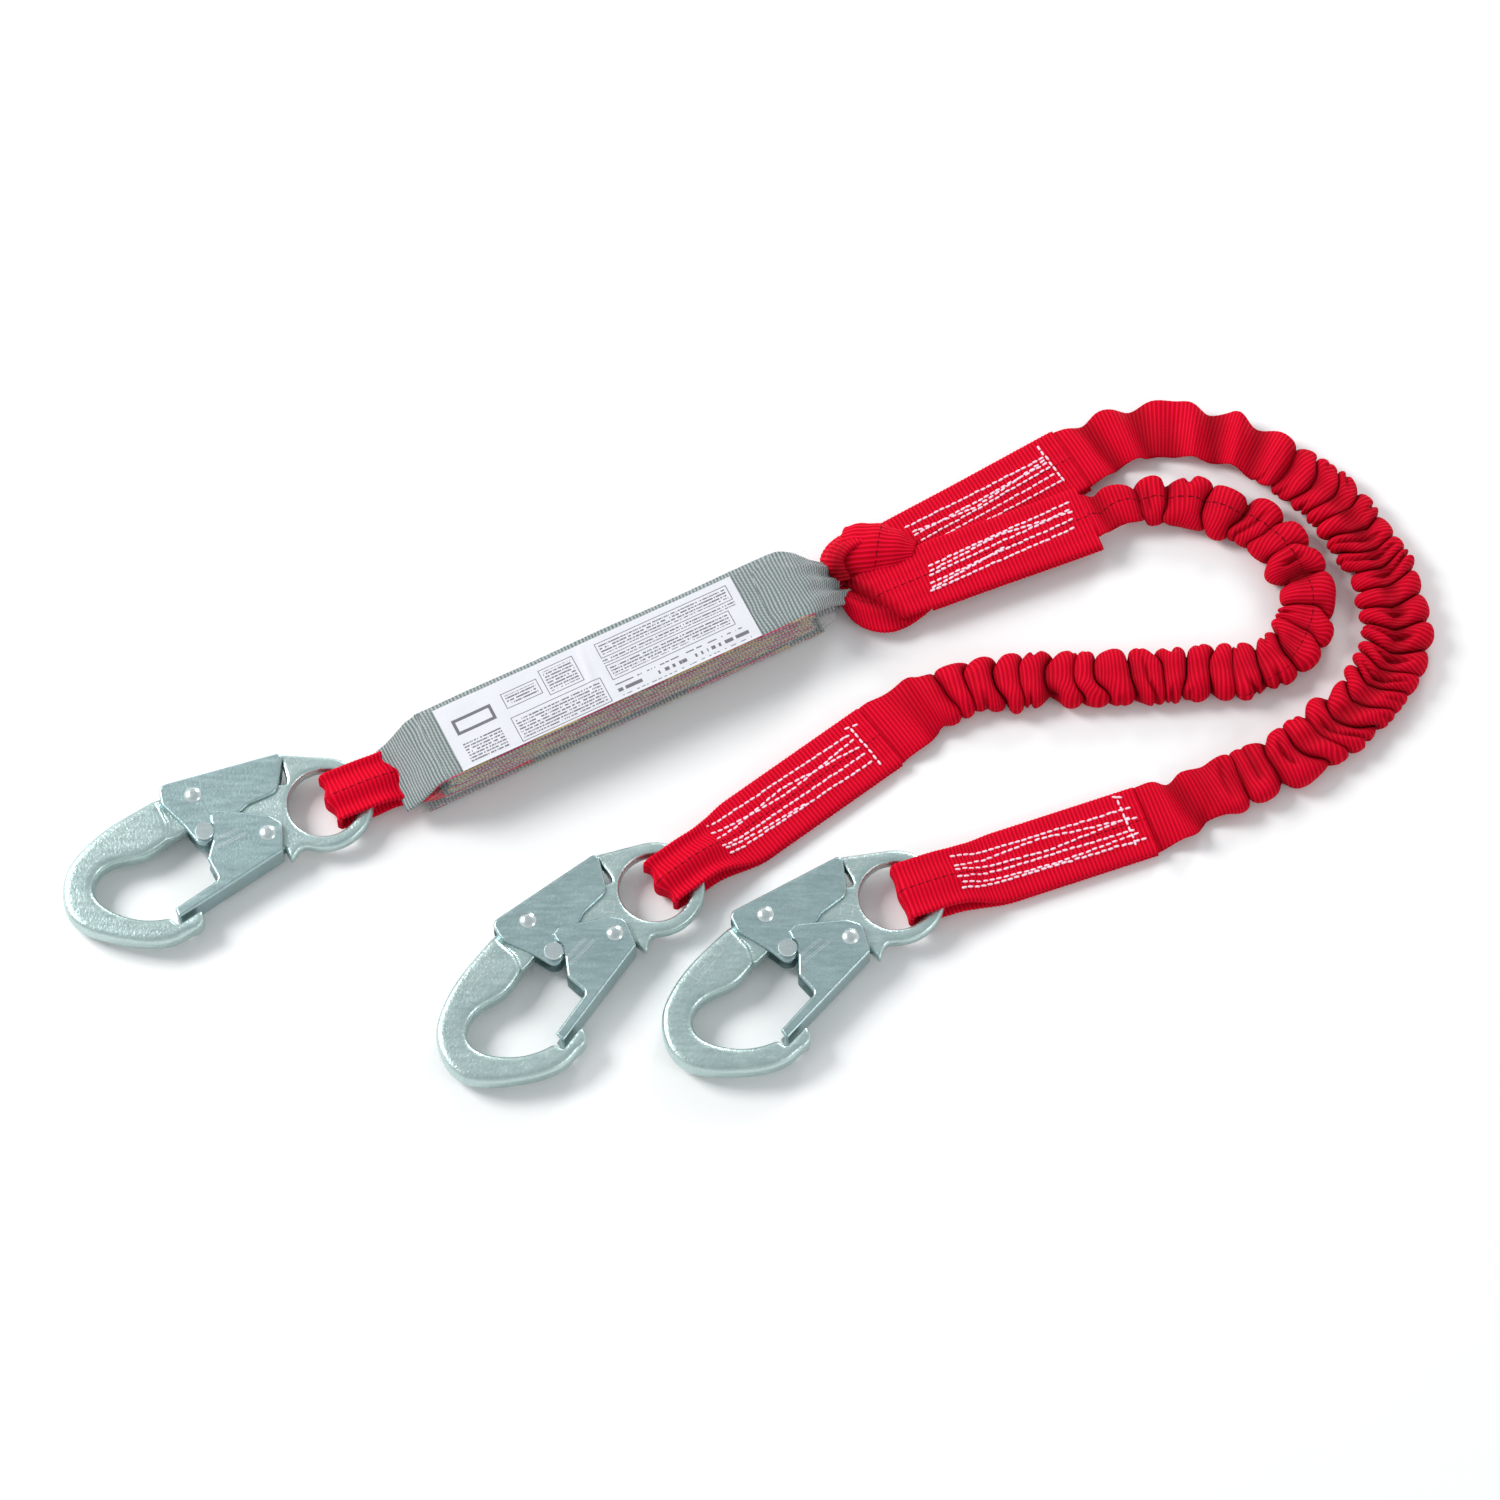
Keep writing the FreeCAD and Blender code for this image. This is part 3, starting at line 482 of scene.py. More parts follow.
def elastic_strip(name, line, form):
    """Flat rubber strip down the jacket's middle, 6 to 12 mm wide and 0.8 to 2 mm thick: across =
    a cos(q)^0.3 and up = b sin(q)."""
    run = run_along(line)
    keep = (run > 0.02) & (run < run[-1] - 0.02)
    middle = line[keep].copy()
    share = run[keep] / run[-1]
    places, _, _, _, _, height = lay_of_folds(run[-1], form)
    middle[:, 2] += np.interp(run[keep], places, height[:, 0])
    heading = unit(np.gradient(middle, axis=0))
    left = unit(layered(-heading[:, 1], heading[:, 0], 0))[:, None]
    turn = np.linspace(0, 2 * np.pi, 20, endpoint=False)[None, :, None]
    pinched = swell(share, *form["pinch"])[:, None, None]
    across = (0.003 + 0.003 * pinched) * drawn_out(np.cos(turn), 0.3)
    up = 0.5 * core_half * np.sin(turn) * (0.4 + 0.6 * pinched)
    points = middle[:, None] + left * across + np.array([0, 0, 1]) * up
    return tube_mesh(name, points, layered(run[keep][:, None], np.linspace(0, 0.052, 21)))


def woven_group():
    """Ribbed webbing.  From the UV map in metres it works out the height of the cross ribs, the
    share of each rib's crown, a dashed tracer thread down the middle and a slow change of shade."""
    sizes = {"Rib Pitch": 0.0019, "Tracer Half": 0.00035}
    group, given, result = new_group("ribbed_web", "Cloth", sizes, ("Height", "Crown", "Tracer", "Shade"))
    parts = parts_of(given["Cloth"])
    rib = figure("DIVIDE", parts["X"], given["Rib Pitch"])
    crown = times_plus(figure("COSINE", times(rib, 2 * math.pi)), 0.5, 0.5)
    yarn_pitch = 0.0009
    yarn_turn = times(parts["Y"], 2 * math.pi / yarn_pitch)
    yarn = figure("SINE", times_plus(rib, 1.6, yarn_turn))
    fuzz = cloth_noise(given["Cloth"], 1500.0, 2.0)
    height = times_plus(yarn, 0.10, times_plus(fuzz, 0.25, crown))
    feed(result["Height"], height)
    feed(result["Crown"], figure("POWER", crown, 2.2))
    near = figure("LESS_THAN", figure("ABSOLUTE", parts["Y"]), given["Tracer Half"])
    dash = figure("LESS_THAN", figure("FRACT", times(rib, 0.5)), 0.62)
    feed(result["Tracer"], times(near, dash))
    feed(result["Shade"], cloth_noise(given["Cloth"], 60.0, 4.0))
    return group


ribbed_web = woven_group()


def red_web(name, rib_pitch, rib_bump, tracer_half, painted_fold_shade=None):
    """Dyed red polyester with a soft sheen, its colour lighter along the rib crowns as a painted highlight
    and darker between the ribs as painted shade.
    The last argument names the point attribute of a gathered piece that is 1 deep in its folds, where painted
    shade darkens the colour most."""
    material, tree, shader = new_material(
        name, Specular_IOR_Level=0.05, Sheen_Weight=0.012, Sheen_Roughness=0.4, Sheen_Tint=(1.0, 0.2, 0.4, 1)
    )
    web = add_node(tree, "Group", {"node_tree": ribbed_web}, Rib_Pitch=rib_pitch, Tracer_Half=tracer_half)
    feed(web.inputs["Cloth"], cloth_place(tree))
    # These reds are each lighter along the rib crowns and darker between the ribs: painted highlight and
    # painted shade.
    red = blended(web.outputs["Crown"], (0.50, 0.0003, 0.0080, 1), (0.82, 0.0030, 0.046, 1))
    deep = blended(web.outputs["Crown"], (0.40, 0.0002, 0.0055, 1), (0.68, 0.0015, 0.028, 1))
    shaded = blended(web.outputs["Shade"], red, deep)
    traced = blended(times(web.outputs["Tracer"], 0.85), shaded, (0.06, 0.001, 0.004, 1))
    if painted_fold_shade:
        # Painted shade: the colour is darkened towards a deep red where the fold attribute is high.
        painted_shade_share = add_node(tree, "Attribute", {"attribute_name": painted_fold_shade}).outputs["Fac"]
        traced = blended(times(painted_shade_share, 0.90), traced, (0.12, 0.0003, 0.002, 1))
    feed(shader["Base Color"], traced)
    feed(shader["Roughness"], between(web.outputs["Crown"], 0.75, 0.55))
    bumped(shader, 1.0, rib_bump, web.outputs["Height"])
    return material


jacket_red = red_web("jacket_red_web", 0.0019, 0.00018, 0.00024, painted_fold_shade="painted_fold_shade")
elastic_rubber, tree, shader = new_material("elastic_rubber", Roughness=0.7)
strands = add_node(tree, "TexWave", {"bands_direction": "Y"}, Vector=cloth_place(tree), Scale=250.0)
strand = strands.outputs["Fac"]
feed(shader["Base Color"], blended(strand, (0.50, 0.46, 0.40, 1), (0.74, 0.70, 0.62, 1)))
bumped(shader, 0.6, 0.0003, strand)

for leg, laid in leg_routes.items():
    route = laid_line([(x, y, leg_level) for x, y in laid], 0.002)
    form = leg_shapes[leg]
    jacket = ruched_jacket(f"leg_{leg}_ruched_jacket", route, form)
    finished(jacket, jacket_red, f"leg_{leg}_jacket")
    core = elastic_strip(f"leg_{leg}_elastic_strip", route, form)
    finished(core, elastic_rubber, f"leg_{leg}_elastic")


# ---------------- sewn tabs and hook loops
# Each end of a leg, and the harness hook, has a loop of the same red web.  The web is laid in two
# plies; the loop end goes through the hook's eye, gathered in folds, and lock stitch joins the plies.
web_ply = 0.0026
web_width = 0.034
rib_pitch = 0.0019
hook_level = 0.0086


def web_strip(name, middle, across, width, lift=None, ply=web_ply, pitch=rib_pitch, rise=0.00013):
    """Closed strip of web carried along a path.  Its section is a stadium, ply thick and width wide;
    the thickness swells by rise x cos(2 pi run / pitch), so that every rib is modelled.  lift is a
    function of (run, place across from -1 to 1) that raises the strip's mid-surface."""
    run = run_along(middle)
    across = unit(np.broadcast_to(across, middle.shape))
    normal = unit(np.cross(unit(np.gradient(middle, run, axis=0)), across))
    flats, bend = 18, 5
    quarter = np.linspace(0, np.pi, bend + 2)[1:-1]
    flat = np.linspace(1, -1, flats)
    underside_shift = 0.0003
    place = np.concatenate([flat, -np.ones(bend), -flat, np.ones(bend)])
    out = np.concatenate([np.zeros(flats), -np.sin(quarter), np.zeros(flats), np.sin(quarter)])
    high = np.concatenate([np.ones(flats), np.cos(quarter), -np.ones(flats), -np.cos(quarter)])
    half = ply / 2 + rise * np.cos(2 * np.pi * run / pitch)[:, None]
    half_flat = np.broadcast_to(width, run.shape)[:, None] / 2 - ply / 2
    sideways = half_flat * place + half * out
    upward = half * high
    if lift is not None:
        upward = upward + lift(run[:, None], place[None, :])
    points = middle[:, None] + across[:, None] * sideways[..., None] + normal[:, None] * upward[..., None]
    points[..., 2] = np.maximum(points[..., 2], table_gap)
    spread = sideways + np.where(np.arange(len(place)) < flats + bend, 0, underside_shift)
    spread = np.concatenate([spread, spread[:, :1]], axis=1)
    return tube_mesh(name, points, layered(run[:, None], spread), sharp=50)


def in_frame(points, corner, heading_deg):
    """Points (x, y, z) of a piece's own level frame, carried to the lanyard's frame."""
    c, s = math.cos(math.radians(heading_deg)), math.sin(math.radians(heading_deg))
    x, y, z = np.moveaxis(np.asarray(points, float), -1, 0)
    return layered(corner[0] + x * c - y * s, corner[1] + x * s + y * c, corner[2] + z)


def loop_path(tab_end, low, high):
    """Side view of the folded web: back along the tab, round inside the eye and out again."""
    bend, round_x = 0.0055, 0.0095
    return [
        (tab_end, 0, low), (tab_end - 0.004, 0, low), (0.085, 0, low), (0.060, 0, low), (0.044, 0, low),
        (0.033, 0, low + 0.0002), (0.024, 0, -bend), (round_x, 0, -bend),
        (round_x - 0.0062, 0, -bend), (round_x - 0.0062, 0, 0), (round_x - 0.0062, 0, bend),
        (round_x, 0, bend), (0.024, 0, bend), (0.034, 0, 0.6 * bend + 0.4 * high), (0.043, 0, high),
        (0.060, 0, high), (0.085, 0, high), (tab_end - 0.004, 0, high), (tab_end, 0, high),
    ]


def hook_web(name, eye, heading_deg, tab_end, low, high, folds, narrow):
    """Web of one hook loop.  In the eye it narrows, and a cosine of the place across folds it."""
    path = laid_line(loop_path(tab_end, low, high), rib_pitch / 6)
    near = clipped((0.052 - path[:, 0]) / 0.026)
    near = near**2 * (3 - 2 * near)
    width = web_width + (narrow - web_width) * near
    run = run_along(path)

    def lift(at, place):
        share = np.interp(at, run, near)
        crown = 0.0004 * (1 - place**2) * (1 - share)
        quilt = 0.00016 * np.cos(place * math.pi * 4.5) * (1 - share)
        return share * folds * np.cos(place * math.pi * 1.5) + crown + quilt

    middle = in_frame(path, eye, heading_deg)
    across = in_frame([(0, 1, 0)], (0, 0, 0), heading_deg)
    upper = slice(len(path) // 2, None)

    def top(x, y):
        """Height of the upper ply's top at a place of the hook's frame."""
        level = np.interp(x, path[upper, 0], path[upper, 2])
        return level + web_ply / 2 + lift(np.interp(x, path[upper, 0], run[upper]), 2 * y / web_width)

    return web_strip(name, middle, across, width, lift), top


def stitch_mesh(name, rows, corner, heading_deg, top, side=0.0):
    """Lock stitch: along each row, x and y of its start and end in mm, a chain of rounded beads, each
    a lathe of radius 0.58 sin(p)^0.6 mm over 2.6 mm, every 3.1 mm on the web's top, top(x, y)."""
    ring, around = 5, 6
    reach, thick, pitch = 0.00132, 0.00058, 0.0031
    p = np.linspace(0.35, np.pi - 0.35, ring)
    turn = np.linspace(0, 2 * np.pi, around, endpoint=False)
    radius = thick * np.sin(p) ** 0.6
    p, radius = p[:, None], radius[:, None]
    bead = layered(-reach * np.cos(p), radius * np.cos(turn), 0.8 * radius * np.sin(turn)).reshape(-1, 3)
    ids, _, quads = ring_quads(ring, around)
    faces = quads.tolist() + [ids[0][::-1].tolist(), ids[-1].tolist()]
    spots, angles = [], []
    for x0, y0, x1, y1 in np.array(rows) / 1000 + [0, side, 0, side]:
        count = max(2, int(math.hypot(x1 - x0, y1 - y0) / pitch))
        shares = (np.arange(count) + 0.5) / count
        spots.append(layered(x0 + (x1 - x0) * shares, y0 + (y1 - y0) * shares))
        angles.append(np.full(count, math.atan2(y1 - y0, x1 - x0)))
    spots, angles = np.concatenate(spots), np.concatenate(angles)
    unsteady = np.random.default_rng(len(name)).normal(0, 1, (2, len(spots)))
    angles = angles + 0.06 * unsteady[0]
    spots = spots + 0.00012 * unsteady.T
    c, s = np.cos(angles)[:, None], np.sin(angles)[:, None]
    x = spots[:, :1] + bead[:, 0] * c - bead[:, 1] * s
    y = spots[:, 1:] + bead[:, 0] * s + bead[:, 1] * c
    z = top(x, y) + bead[:, 2]
    points = in_frame(layered(x, y, z).reshape(-1, 3), corner, heading_deg)
    every = [[v + n * len(bead) for v in face] for n in range(len(spots)) for face in faces]
    return smooth_piece(name, points, every)


tab_red = red_web("tab_red_web", rib_pitch, 0.00008, 0.00026)
thread_white, tree, shader = new_material("lock_stitch_thread", Roughness=0.55, Specular_IOR_Level=0.4)
twist = noise(piece_place(tree), 1400.0, 1.0)
feed(shader["Base Color"], blended(twist, (0.86, 0.42, 0.58, 1), (0.98, 0.86, 0.92, 1)))
bumped(shader, 0.5, 0.0002, twist)

# Eye and heading of each hook's own frame.
hook_places = {
    1: ((-0.1304, -0.0280, hook_level), 28.7),
    2: ((0.0192, -0.0695, hook_level), 48.0),
    3: ((0.1269, -0.0735, hook_level), 41.2),
}
low_ply, high_ply = -0.0070, -0.0038
end_tabs = {
    # leg: hook, heading, tab end, height of the folds and width in the eye, stitch rows in mm
    "b": (2, 37.3, 0.1277, 0.0017, 0.0245, [
        (36, 10.6, 117, 8.4), (36, 6.2, 76, 2.2), (76, 2.2, 117, 5.2), (36, 2.2, 76, 5.8),
        (76, 5.8, 117, 0.6), (36, -2, 117, -3.4), (37, -6.4, 117, -8.4), (37, -3.4, 80, -6.8),
        (119, -12.5, 119, 11), (116, 11.8, 123.5, 10.4),
    ]),
    "a": (3, 19.3, 0.1203, 0.0005, 0.0275, [
        (29, 9.3, 116, 7.4), (29, 4, 72, 6.6), (72, 6.6, 117, 1.8), (29, 2.4, 74, -0.2), (74, -0.2, 114, 3),
        (28.5, -1.4, 114, -3.4), (28.5, -7, 117.5, -9), (30, -4.4, 75, -7.2), (75, -7.2, 115, -5.4),
        (111.5, -11.3, 111.5, 13.4), (113.5, 13.2, 110, 15),
    ]),
}
for leg, (hook, heading_deg, tab_end, folds, narrow, rows) in end_tabs.items():
    eye = hook_places[hook][0]
    name = f"leg_{leg}_end_tab"
    web, web_top = hook_web(f"{name}_web", eye, heading_deg, tab_end, low_ply, high_ply, folds, narrow)
    finished(web, tab_red, name)
    thread = stitch_mesh(f"{name}_thread", rows, eye, heading_deg, web_top)
    finished(thread, thread_white, f"leg_{leg}_end_stitching")

harness_eye = hook_places[1][0]
harness_web, _ = hook_web("hook_1_loop_web", harness_eye, 24.0, 0.095, -0.0034, -0.0005, 0.0014, 0.0245)
finished(harness_web, tab_red, "hook_loop")


# ---------------- top tabs and the choke knot
# The legs' upper tabs choke round the gray end loop of the shock pack: the web goes through the
# loop, back over it and into its own tab.  Tab B lies over tab A, and its web folds under aslant.
choke = (0.1069, 0.0864, 0.0)
tab_a_heading, tab_b_heading, tab_b_side = 30.75, 21.5, -0.0140


def straight(start, end, side, height):
    """Evenly spaced points from x = start to x = end of a tab's frame, six to a rib."""
    count = round(abs(end - start) / rib_pitch * 6)
    x = np.linspace(start, end, count)
    return layered(x, side, height(x)).copy()


def soft_crown(at, place):
    """Slight crown with sewn channels: a parabola less a cosine of the place across."""
    channels = 0.00014 * np.cos(place * math.pi * 4.5)
    return 0.0004 * (1 - place**2) + channels + 0.0002 * np.sin(at * 90 + place)


def leg_end(x):
    """0 along a top tab, and up to 1 at its end, where the leg goes in between the plies."""
    return clipped((x - 0.095) / 0.026)


top_tabs = {
    # leg: heading, side, width, and for each ply its height, start, end and lift at the leg's end
    "a": (tab_a_heading, 0.0, 0.034, (
        (0.0016, 0.024, 0.1215, -0.0002), (0.0049, 0.024, 0.1205, 0.0006),
    )),
    "b": (tab_b_heading, tab_b_side, 0.0325, (
        (0.0082, 0.030, 0.1146, -0.0002), (0.0114, -0.022, 0.1136, 0.0006),
    )),
}
choke_red = red_web("choke_red_web", rib_pitch, 0.00008, 0.00026, painted_fold_shade="painted_fold_shade")
# Lines along the knot's deep creases, where painted shade darkens the webs' colour, each from one place to
# another as seen from above, in mm.
knot_shade_lines = ((101, 86), (132.3, 62.5)), ((101.5, 85), (103, 96)), ((101, 85), (112, 85.5))
knot_shade_reach = 0.0042


def paint_knot_shade(obj):
    """Point attribute of painted shade: 1 along the knot's creases, falling off to 0 within the given reach.
    """
    spots = spots_of(obj.data)[:, :2]
    deep = np.zeros(len(spots))
    for start, end in np.array(knot_shade_lines) / 1000:
        share = clipped((spots - start) @ (end - start) / ((end - start) @ (end - start)))
        away = np.linalg.norm(spots - start - share[:, None] * (end - start), axis=1)
        deep = np.maximum(deep, hump(away / knot_shade_reach) * (1 - 0.55 * share))
    set_painted_fold_shade(obj, deep)


fold_start, fold_out = np.array([0.0006, -0.0012]), np.array([-0.821, -0.571])
fold_roll = 0.0030


def rolled_under(points, height):
    """Fold of a flat ply about a slanting line.  Past the line, by a distance d, the ply goes round
    a cylinder of radius r: out = (r + h) sin(d / r) and up = (r + h) cos(d / r) - r, h its height
    over the ply's middle; beyond half a turn it runs back flat underneath."""
    past = (points[..., :2] - fold_start) @ fold_out
    angle = np.clip(past / fold_roll, 0, math.pi)
    above = points[..., 2] - height
    rolled = past > 0
    out = (fold_roll + above) * np.sin(angle) - np.maximum(past - math.pi * fold_roll, 0)
    flat = points[..., :2] + np.where(rolled, out - past, 0)[..., None] * fold_out
    up = np.where(rolled, height - fold_roll + (fold_roll + above) * np.cos(angle), points[..., 2])
    return np.concatenate([flat, up[..., None]], axis=-1)


for leg, (heading_deg, side, tab_width, plies) in top_tabs.items():
    for label, (height, start, end, flare) in zip(("under", "upper"), plies):
        path = straight(start, end, side, lambda x: height + flare * leg_end(x))
        gathered = clipped((0.045 - path[:, 0]) / 0.045) ** 1.5 * (start < 0)
        path[:, 1] -= 0.0022 * gathered
        width = tab_width - 0.0050 * gathered
        web = web_strip(f"leg_{leg}_top_tab_{label}_ply", path, (0, 1, 0), width, soft_crown)
        local = spots_of(web.data)
        if start < 0:
            local = rolled_under(local, height)
        web.data.vertices.foreach_set("co", in_frame(local, choke, heading_deg).astype(np.float32).ravel())
        web.data.update()
        paint_knot_shade(web)
        finished(web, choke_red, f"leg_{leg}_top_tab")

wraps = {
    # path in mm, direction across the web at its start and end, width at start and end, arch at both
    "choke_over_web": (
        [(123.5, 106, 3), (122.8, 109.5, 7), (121.8, 107.8, 12.5), (120.8, 101.5, 15.8), (119.6, 94.5, 15.2),
         (118.6, 89.5, 11.5), (118, 86.5, 8.5)],
        (0.97, -0.30, -0.16), (0.93, 0.26, 0.02), (0.034, 0.0355), (0.0026, 0.0008),
    ),
    "choke_side_web": (
        [(101, 85, 8), (97.8, 91.5, 10.5), (99.8, 98, 12), (105.5, 103.5, 12), (113, 107, 10),
         (122, 108.5, 7)],
        (-0.55, 0.35, -0.75), (-0.2, 0.65, -0.72), (0.020, 0.020), (0.0008, 0.0008),
    ),
    "choke_under_web": (
        [(152, 94, 4.5), (144.5, 86, 5), (136.5, 78.5, 6), (129, 73.5, 6.6), (121.5, 71.2, 7),
         (113, 72.2, 7), (105.5, 76.5, 6.2), (100.5, 81.5, 4.5), (98.5, 86, 3)],
        (0.10, -0.97, 0.16), (0.35, -0.92, 0.14), (0.026, 0.026), (0.0022, 0.0022),
    ),
}
for name, (points, first_across, last_across, widths, arches) in wraps.items():
    path = laid_line(np.array(points) / 1000, rib_pitch / 6)
    share = np.linspace(0, 1, len(path))
    across = np.array(first_across) * (1 - share[:, None]) + np.array(last_across) * share[:, None]
    width = widths[0] + (widths[1] - widths[0]) * share
    length = run_along(path)[-1]

    def arched(at, place):
        """A parabola across the web, with slight channels along it."""
        arch = arches[0] + (arches[1] - arches[0]) * at / length
        return arch * (1 - 2 * place**2) + 0.0003 * np.cos(place * math.pi * 3 + at * 60)

    web = web_strip(name, path, across, width, arched)
    paint_knot_shade(web)
    finished(web, choke_red, "leg_b_top_tab")

top_rows = {
    "a": (tab_a_heading, 0.0, 0.0049, [
        (35.5, 8.6, 110, 6.6), (37, 5, 70, 1), (37, 3.2, 110, 3.6), (70, 1, 110, 5.2), (38.5, -1, 110, 1),
        (40, -4, 110, -3.2), (60, -7.4, 111, -7.8), (110.5, 13.4, 111.5, -9),
    ]),
    "b": (tab_b_heading, tab_b_side, 0.0114, [
        (35, 3.4, 108.5, 10.2), (34.5, 0.6, 72, 6.2), (72, 6.2, 108, 5), (33.5, -1.2, 107, 6.2),
        (32.5, -5, 106.5, 1.4), (32, -7.8, 72, -0.4), (31, -8.8, 105.5, -3),
    ]),
}
for leg, (heading_deg, side, height, rows) in top_rows.items():
    tab_width = top_tabs[leg][2]
    upper_start = top_tabs[leg][3][1][1]

    def ply_top(x, y):
        """Height of the tab's top at a place of its frame."""
        crown = soft_crown(x - upper_start, 2 * (y - side) / tab_width)
        return height + web_ply / 2 + crown + 0.0006 * leg_end(x) + 0.0001

    thread = stitch_mesh(f"leg_{leg}_top_tab_thread", rows, choke, heading_deg, ply_top, side)
    finished(thread, thread_white, f"leg_{leg}_top_stitching")


# ---------------- shock pack
# A long gray tear web is folded to and fro over a backup strap, with a printed label on top, and
# clear film is shrunk round it.  The web's gray end loop comes out at the right for the legs.
pack = (-0.0012, 0.0320, 0.0)
pack_heading = 26.7
pack_y = in_frame([(0, 1, 0)], (0, 0, 0), pack_heading)


def on_pack(points):
    return in_frame(points, pack, pack_heading)


def side_path(points, step):
    """Smooth line through a side view (x, z) of the pack in mm, in the lanyard's frame."""
    return on_pack(laid_line([(x / 1000, 0, z / 1000) for x, z in points], step))


def gray_web_material():
    """Coarse gray polyester: cross ribs of light dotted yarn with dark gaps, and yarns of two other
    colours near one edge."""
    material, tree, shader = new_material("gray_tear_web", Specular_IOR_Level=0.3)
    cloth = cloth_place(tree)
    parts = parts_of(cloth)
    fuzz = cloth_noise(cloth, 1100.0, 3.0)
    weave_pitch, yarn_pitch = 0.0017, 0.0015
    sway = times(cloth_noise(cloth, 70.0, 1.0), 9.0)
    rib = times_plus(parts["X"], 2 * math.pi / weave_pitch, sway)
    crown = times_plus(figure("COSINE", rib), 0.5, 0.5)
    yarn_turn = times(parts["Y"], 2 * math.pi / yarn_pitch)
    yarn = figure("SINE", times_plus(rib, 0.5, yarn_turn))
    dotted = times(crown, times_plus(yarn, 0.2, 0.8))
    mixed = times_plus(fuzz, 0.35, times(dotted, 0.85))
    gray = blended(mixed, (0.045, 0.060, 0.062, 1), (0.40, 0.46, 0.455, 1))
    edge = figure("COMPARE", parts["Y"], -0.0177, 0.00030)
    lengthwise = add_node(tree, "TexNoise", {"noise_dimensions": "1D"}, W=times(parts["X"], 9.0))
    hue = add_node(tree, "ValToRGB", Fac=lengthwise.outputs["Fac"])
    ramp = hue.color_ramp
    ramp.elements[0].position, ramp.elements[0].color = 0.44, (0.62, 0.40, 0.12, 1)
    ramp.elements[1].position, ramp.elements[1].color = 0.56, (0.55, 0.012, 0.09, 1)
    feed(shader["Base Color"], blended(times(edge, 0.85), gray, hue.outputs["Color"]))
    feed(shader["Roughness"], between(fuzz, 0.6, 0.85))
    bumped(shader, 0.9, 0.0004, mixed)
    return material


gray_web = gray_web_material()


def gray_strip(name, node, path, width, lift=None, ply=0.0022):
    """Strip of the gray web, whose ribs are modelled nearly flat."""
    web = web_strip(name, path, pack_y, width, lift, ply=ply, pitch=0.006, rise=0.00004)
    finished(web, gray_web, node)


# The folded web: its lowest level, half length, ply and gap, and how much shorter each layer is, in mm.
fold_low, fold_reach, fold_ply, fold_gap = 9.7, 92, 2.4, 0.4
layer_shortness = (0, 6, 2, 9, 1, 7, 3)
serpentine = []
for layer, shorter in enumerate(layer_shortness):
    level = fold_low + fold_ply / 2 + layer * (fold_ply + fold_gap)
    direction = 1 if layer % 2 == 0 else -1
    serpentine += [(direction * x, level) for x in (-fold_reach, -60, -20, 20, 60, fold_reach - shorter)]
    if layer < len(layer_shortness) - 1:
        turn_x = direction * (fold_reach - shorter + 2.6)
        serpentine += [(turn_x, level), (turn_x, level + fold_ply + fold_gap)]
gray_strip(
    "pack_tear_web", "tear_web", side_path(serpentine, 0.0010), 0.0366,
    lambda at, place: 0.00035 * np.sin(at * 95) * place + 0.0002 * np.cos(at * 61 + 2 * place), ply=0.0019,
)

strap_path = side_path([(x, 2.4) for x in (-100, -50, 0, 50, 100)], 0.001)
gray_strip("pack_backup_strap", "backup_strap", strap_path, 0.035)

cover_path = side_path(
    [(-78, 27), (-86, 28), (-94, 26.8), (-99, 20.5), (-103.5, 15), (-107.5, 11.8), (-110, 10.5)], 0.0004
)
gray_strip(
    "pack_left_cover", "tear_web", cover_path, 0.0365 - 0.003 * np.linspace(0, 1, len(cover_path)),
    lambda at, place: 0.0009 * (at / 0.045) ** 2 * np.cos(place * math.pi), ply=0.0018,
)

end_path = side_path(
    [(30, 5), (60, 5), (95, 5), (106, 3), (120, 2.4), (132.5, 2.4), (134, 3.6), (132.5, 4.8), (126, 5.2),
     (120, 5.6), (115.5, 7.8), (111, 12), (105.5, 18), (99, 24.5), (93, 27.2), (86, 27.9), (78, 27.6),
     (68, 27)],
    0.0004,
)
end_run = run_along(end_path)
flat_part = np.interp(end_run / end_run[-1], (0, 0.28, 0.38, 0.62, 0.76, 0.86, 1), (1, 1, 0, 0, 0.35, 1, 1))


def bunched(at, place):
    """Folds along the narrowed web: a cosine of the place across, where the web isn't flat."""
    return 0.0016 * (1 - np.interp(at, end_run, flat_part)) * np.cos(place * math.pi * 3.1 + at * 25)


gray_strip("pack_end_loop_web", "pack_end_loop", end_path, 0.0205 + 0.0160 * flat_part, bunched)

# Printed label: thin white synthetic paper with two low creases across it.
label_length, label_width, label_top, label_thick = 0.150, 0.033, 0.0293, 0.0002
u, v = np.meshgrid(np.linspace(0, 1, 181), np.linspace(0, 1, 31), indexing="ij")
ridge = 0.0005 * hump((u - 0.46 - 0.03 * v) / 0.012) + 0.0003 * hump((u - 0.52) / 0.02)
level = label_top + ridge * (1 - (2 * v - 1) ** 4) + 0.00015 * wander(u.shape, (12, 3), 21)
sheet = layered((u - 0.5) * label_length - 0.007, (v - 0.5) * label_width - 0.0009, level)
ring = np.concatenate([sheet, sheet[:, ::-1] - [0, 0, label_thick]], axis=1)
print_uv = layered(u[:, :1], np.concatenate([v, v[:, ::-1] + 2, v[:, :1]], axis=1))
label = tube_mesh("pack_label_sheet", on_pack(ring[:, ::-1]), print_uv[:, ::-1], sharp=40)
label_stock, tree, shader = new_material("label_stock", Roughness=0.42)
parts = parts_of(cloth_place(tree))


def patch(left, right, low, high):
    """1 within a rectangle of the label, 0 outside it."""
    return within(parts["X"], parts["Y"], (left + right) / 2, (low + high) / 2, right - left, high - low)


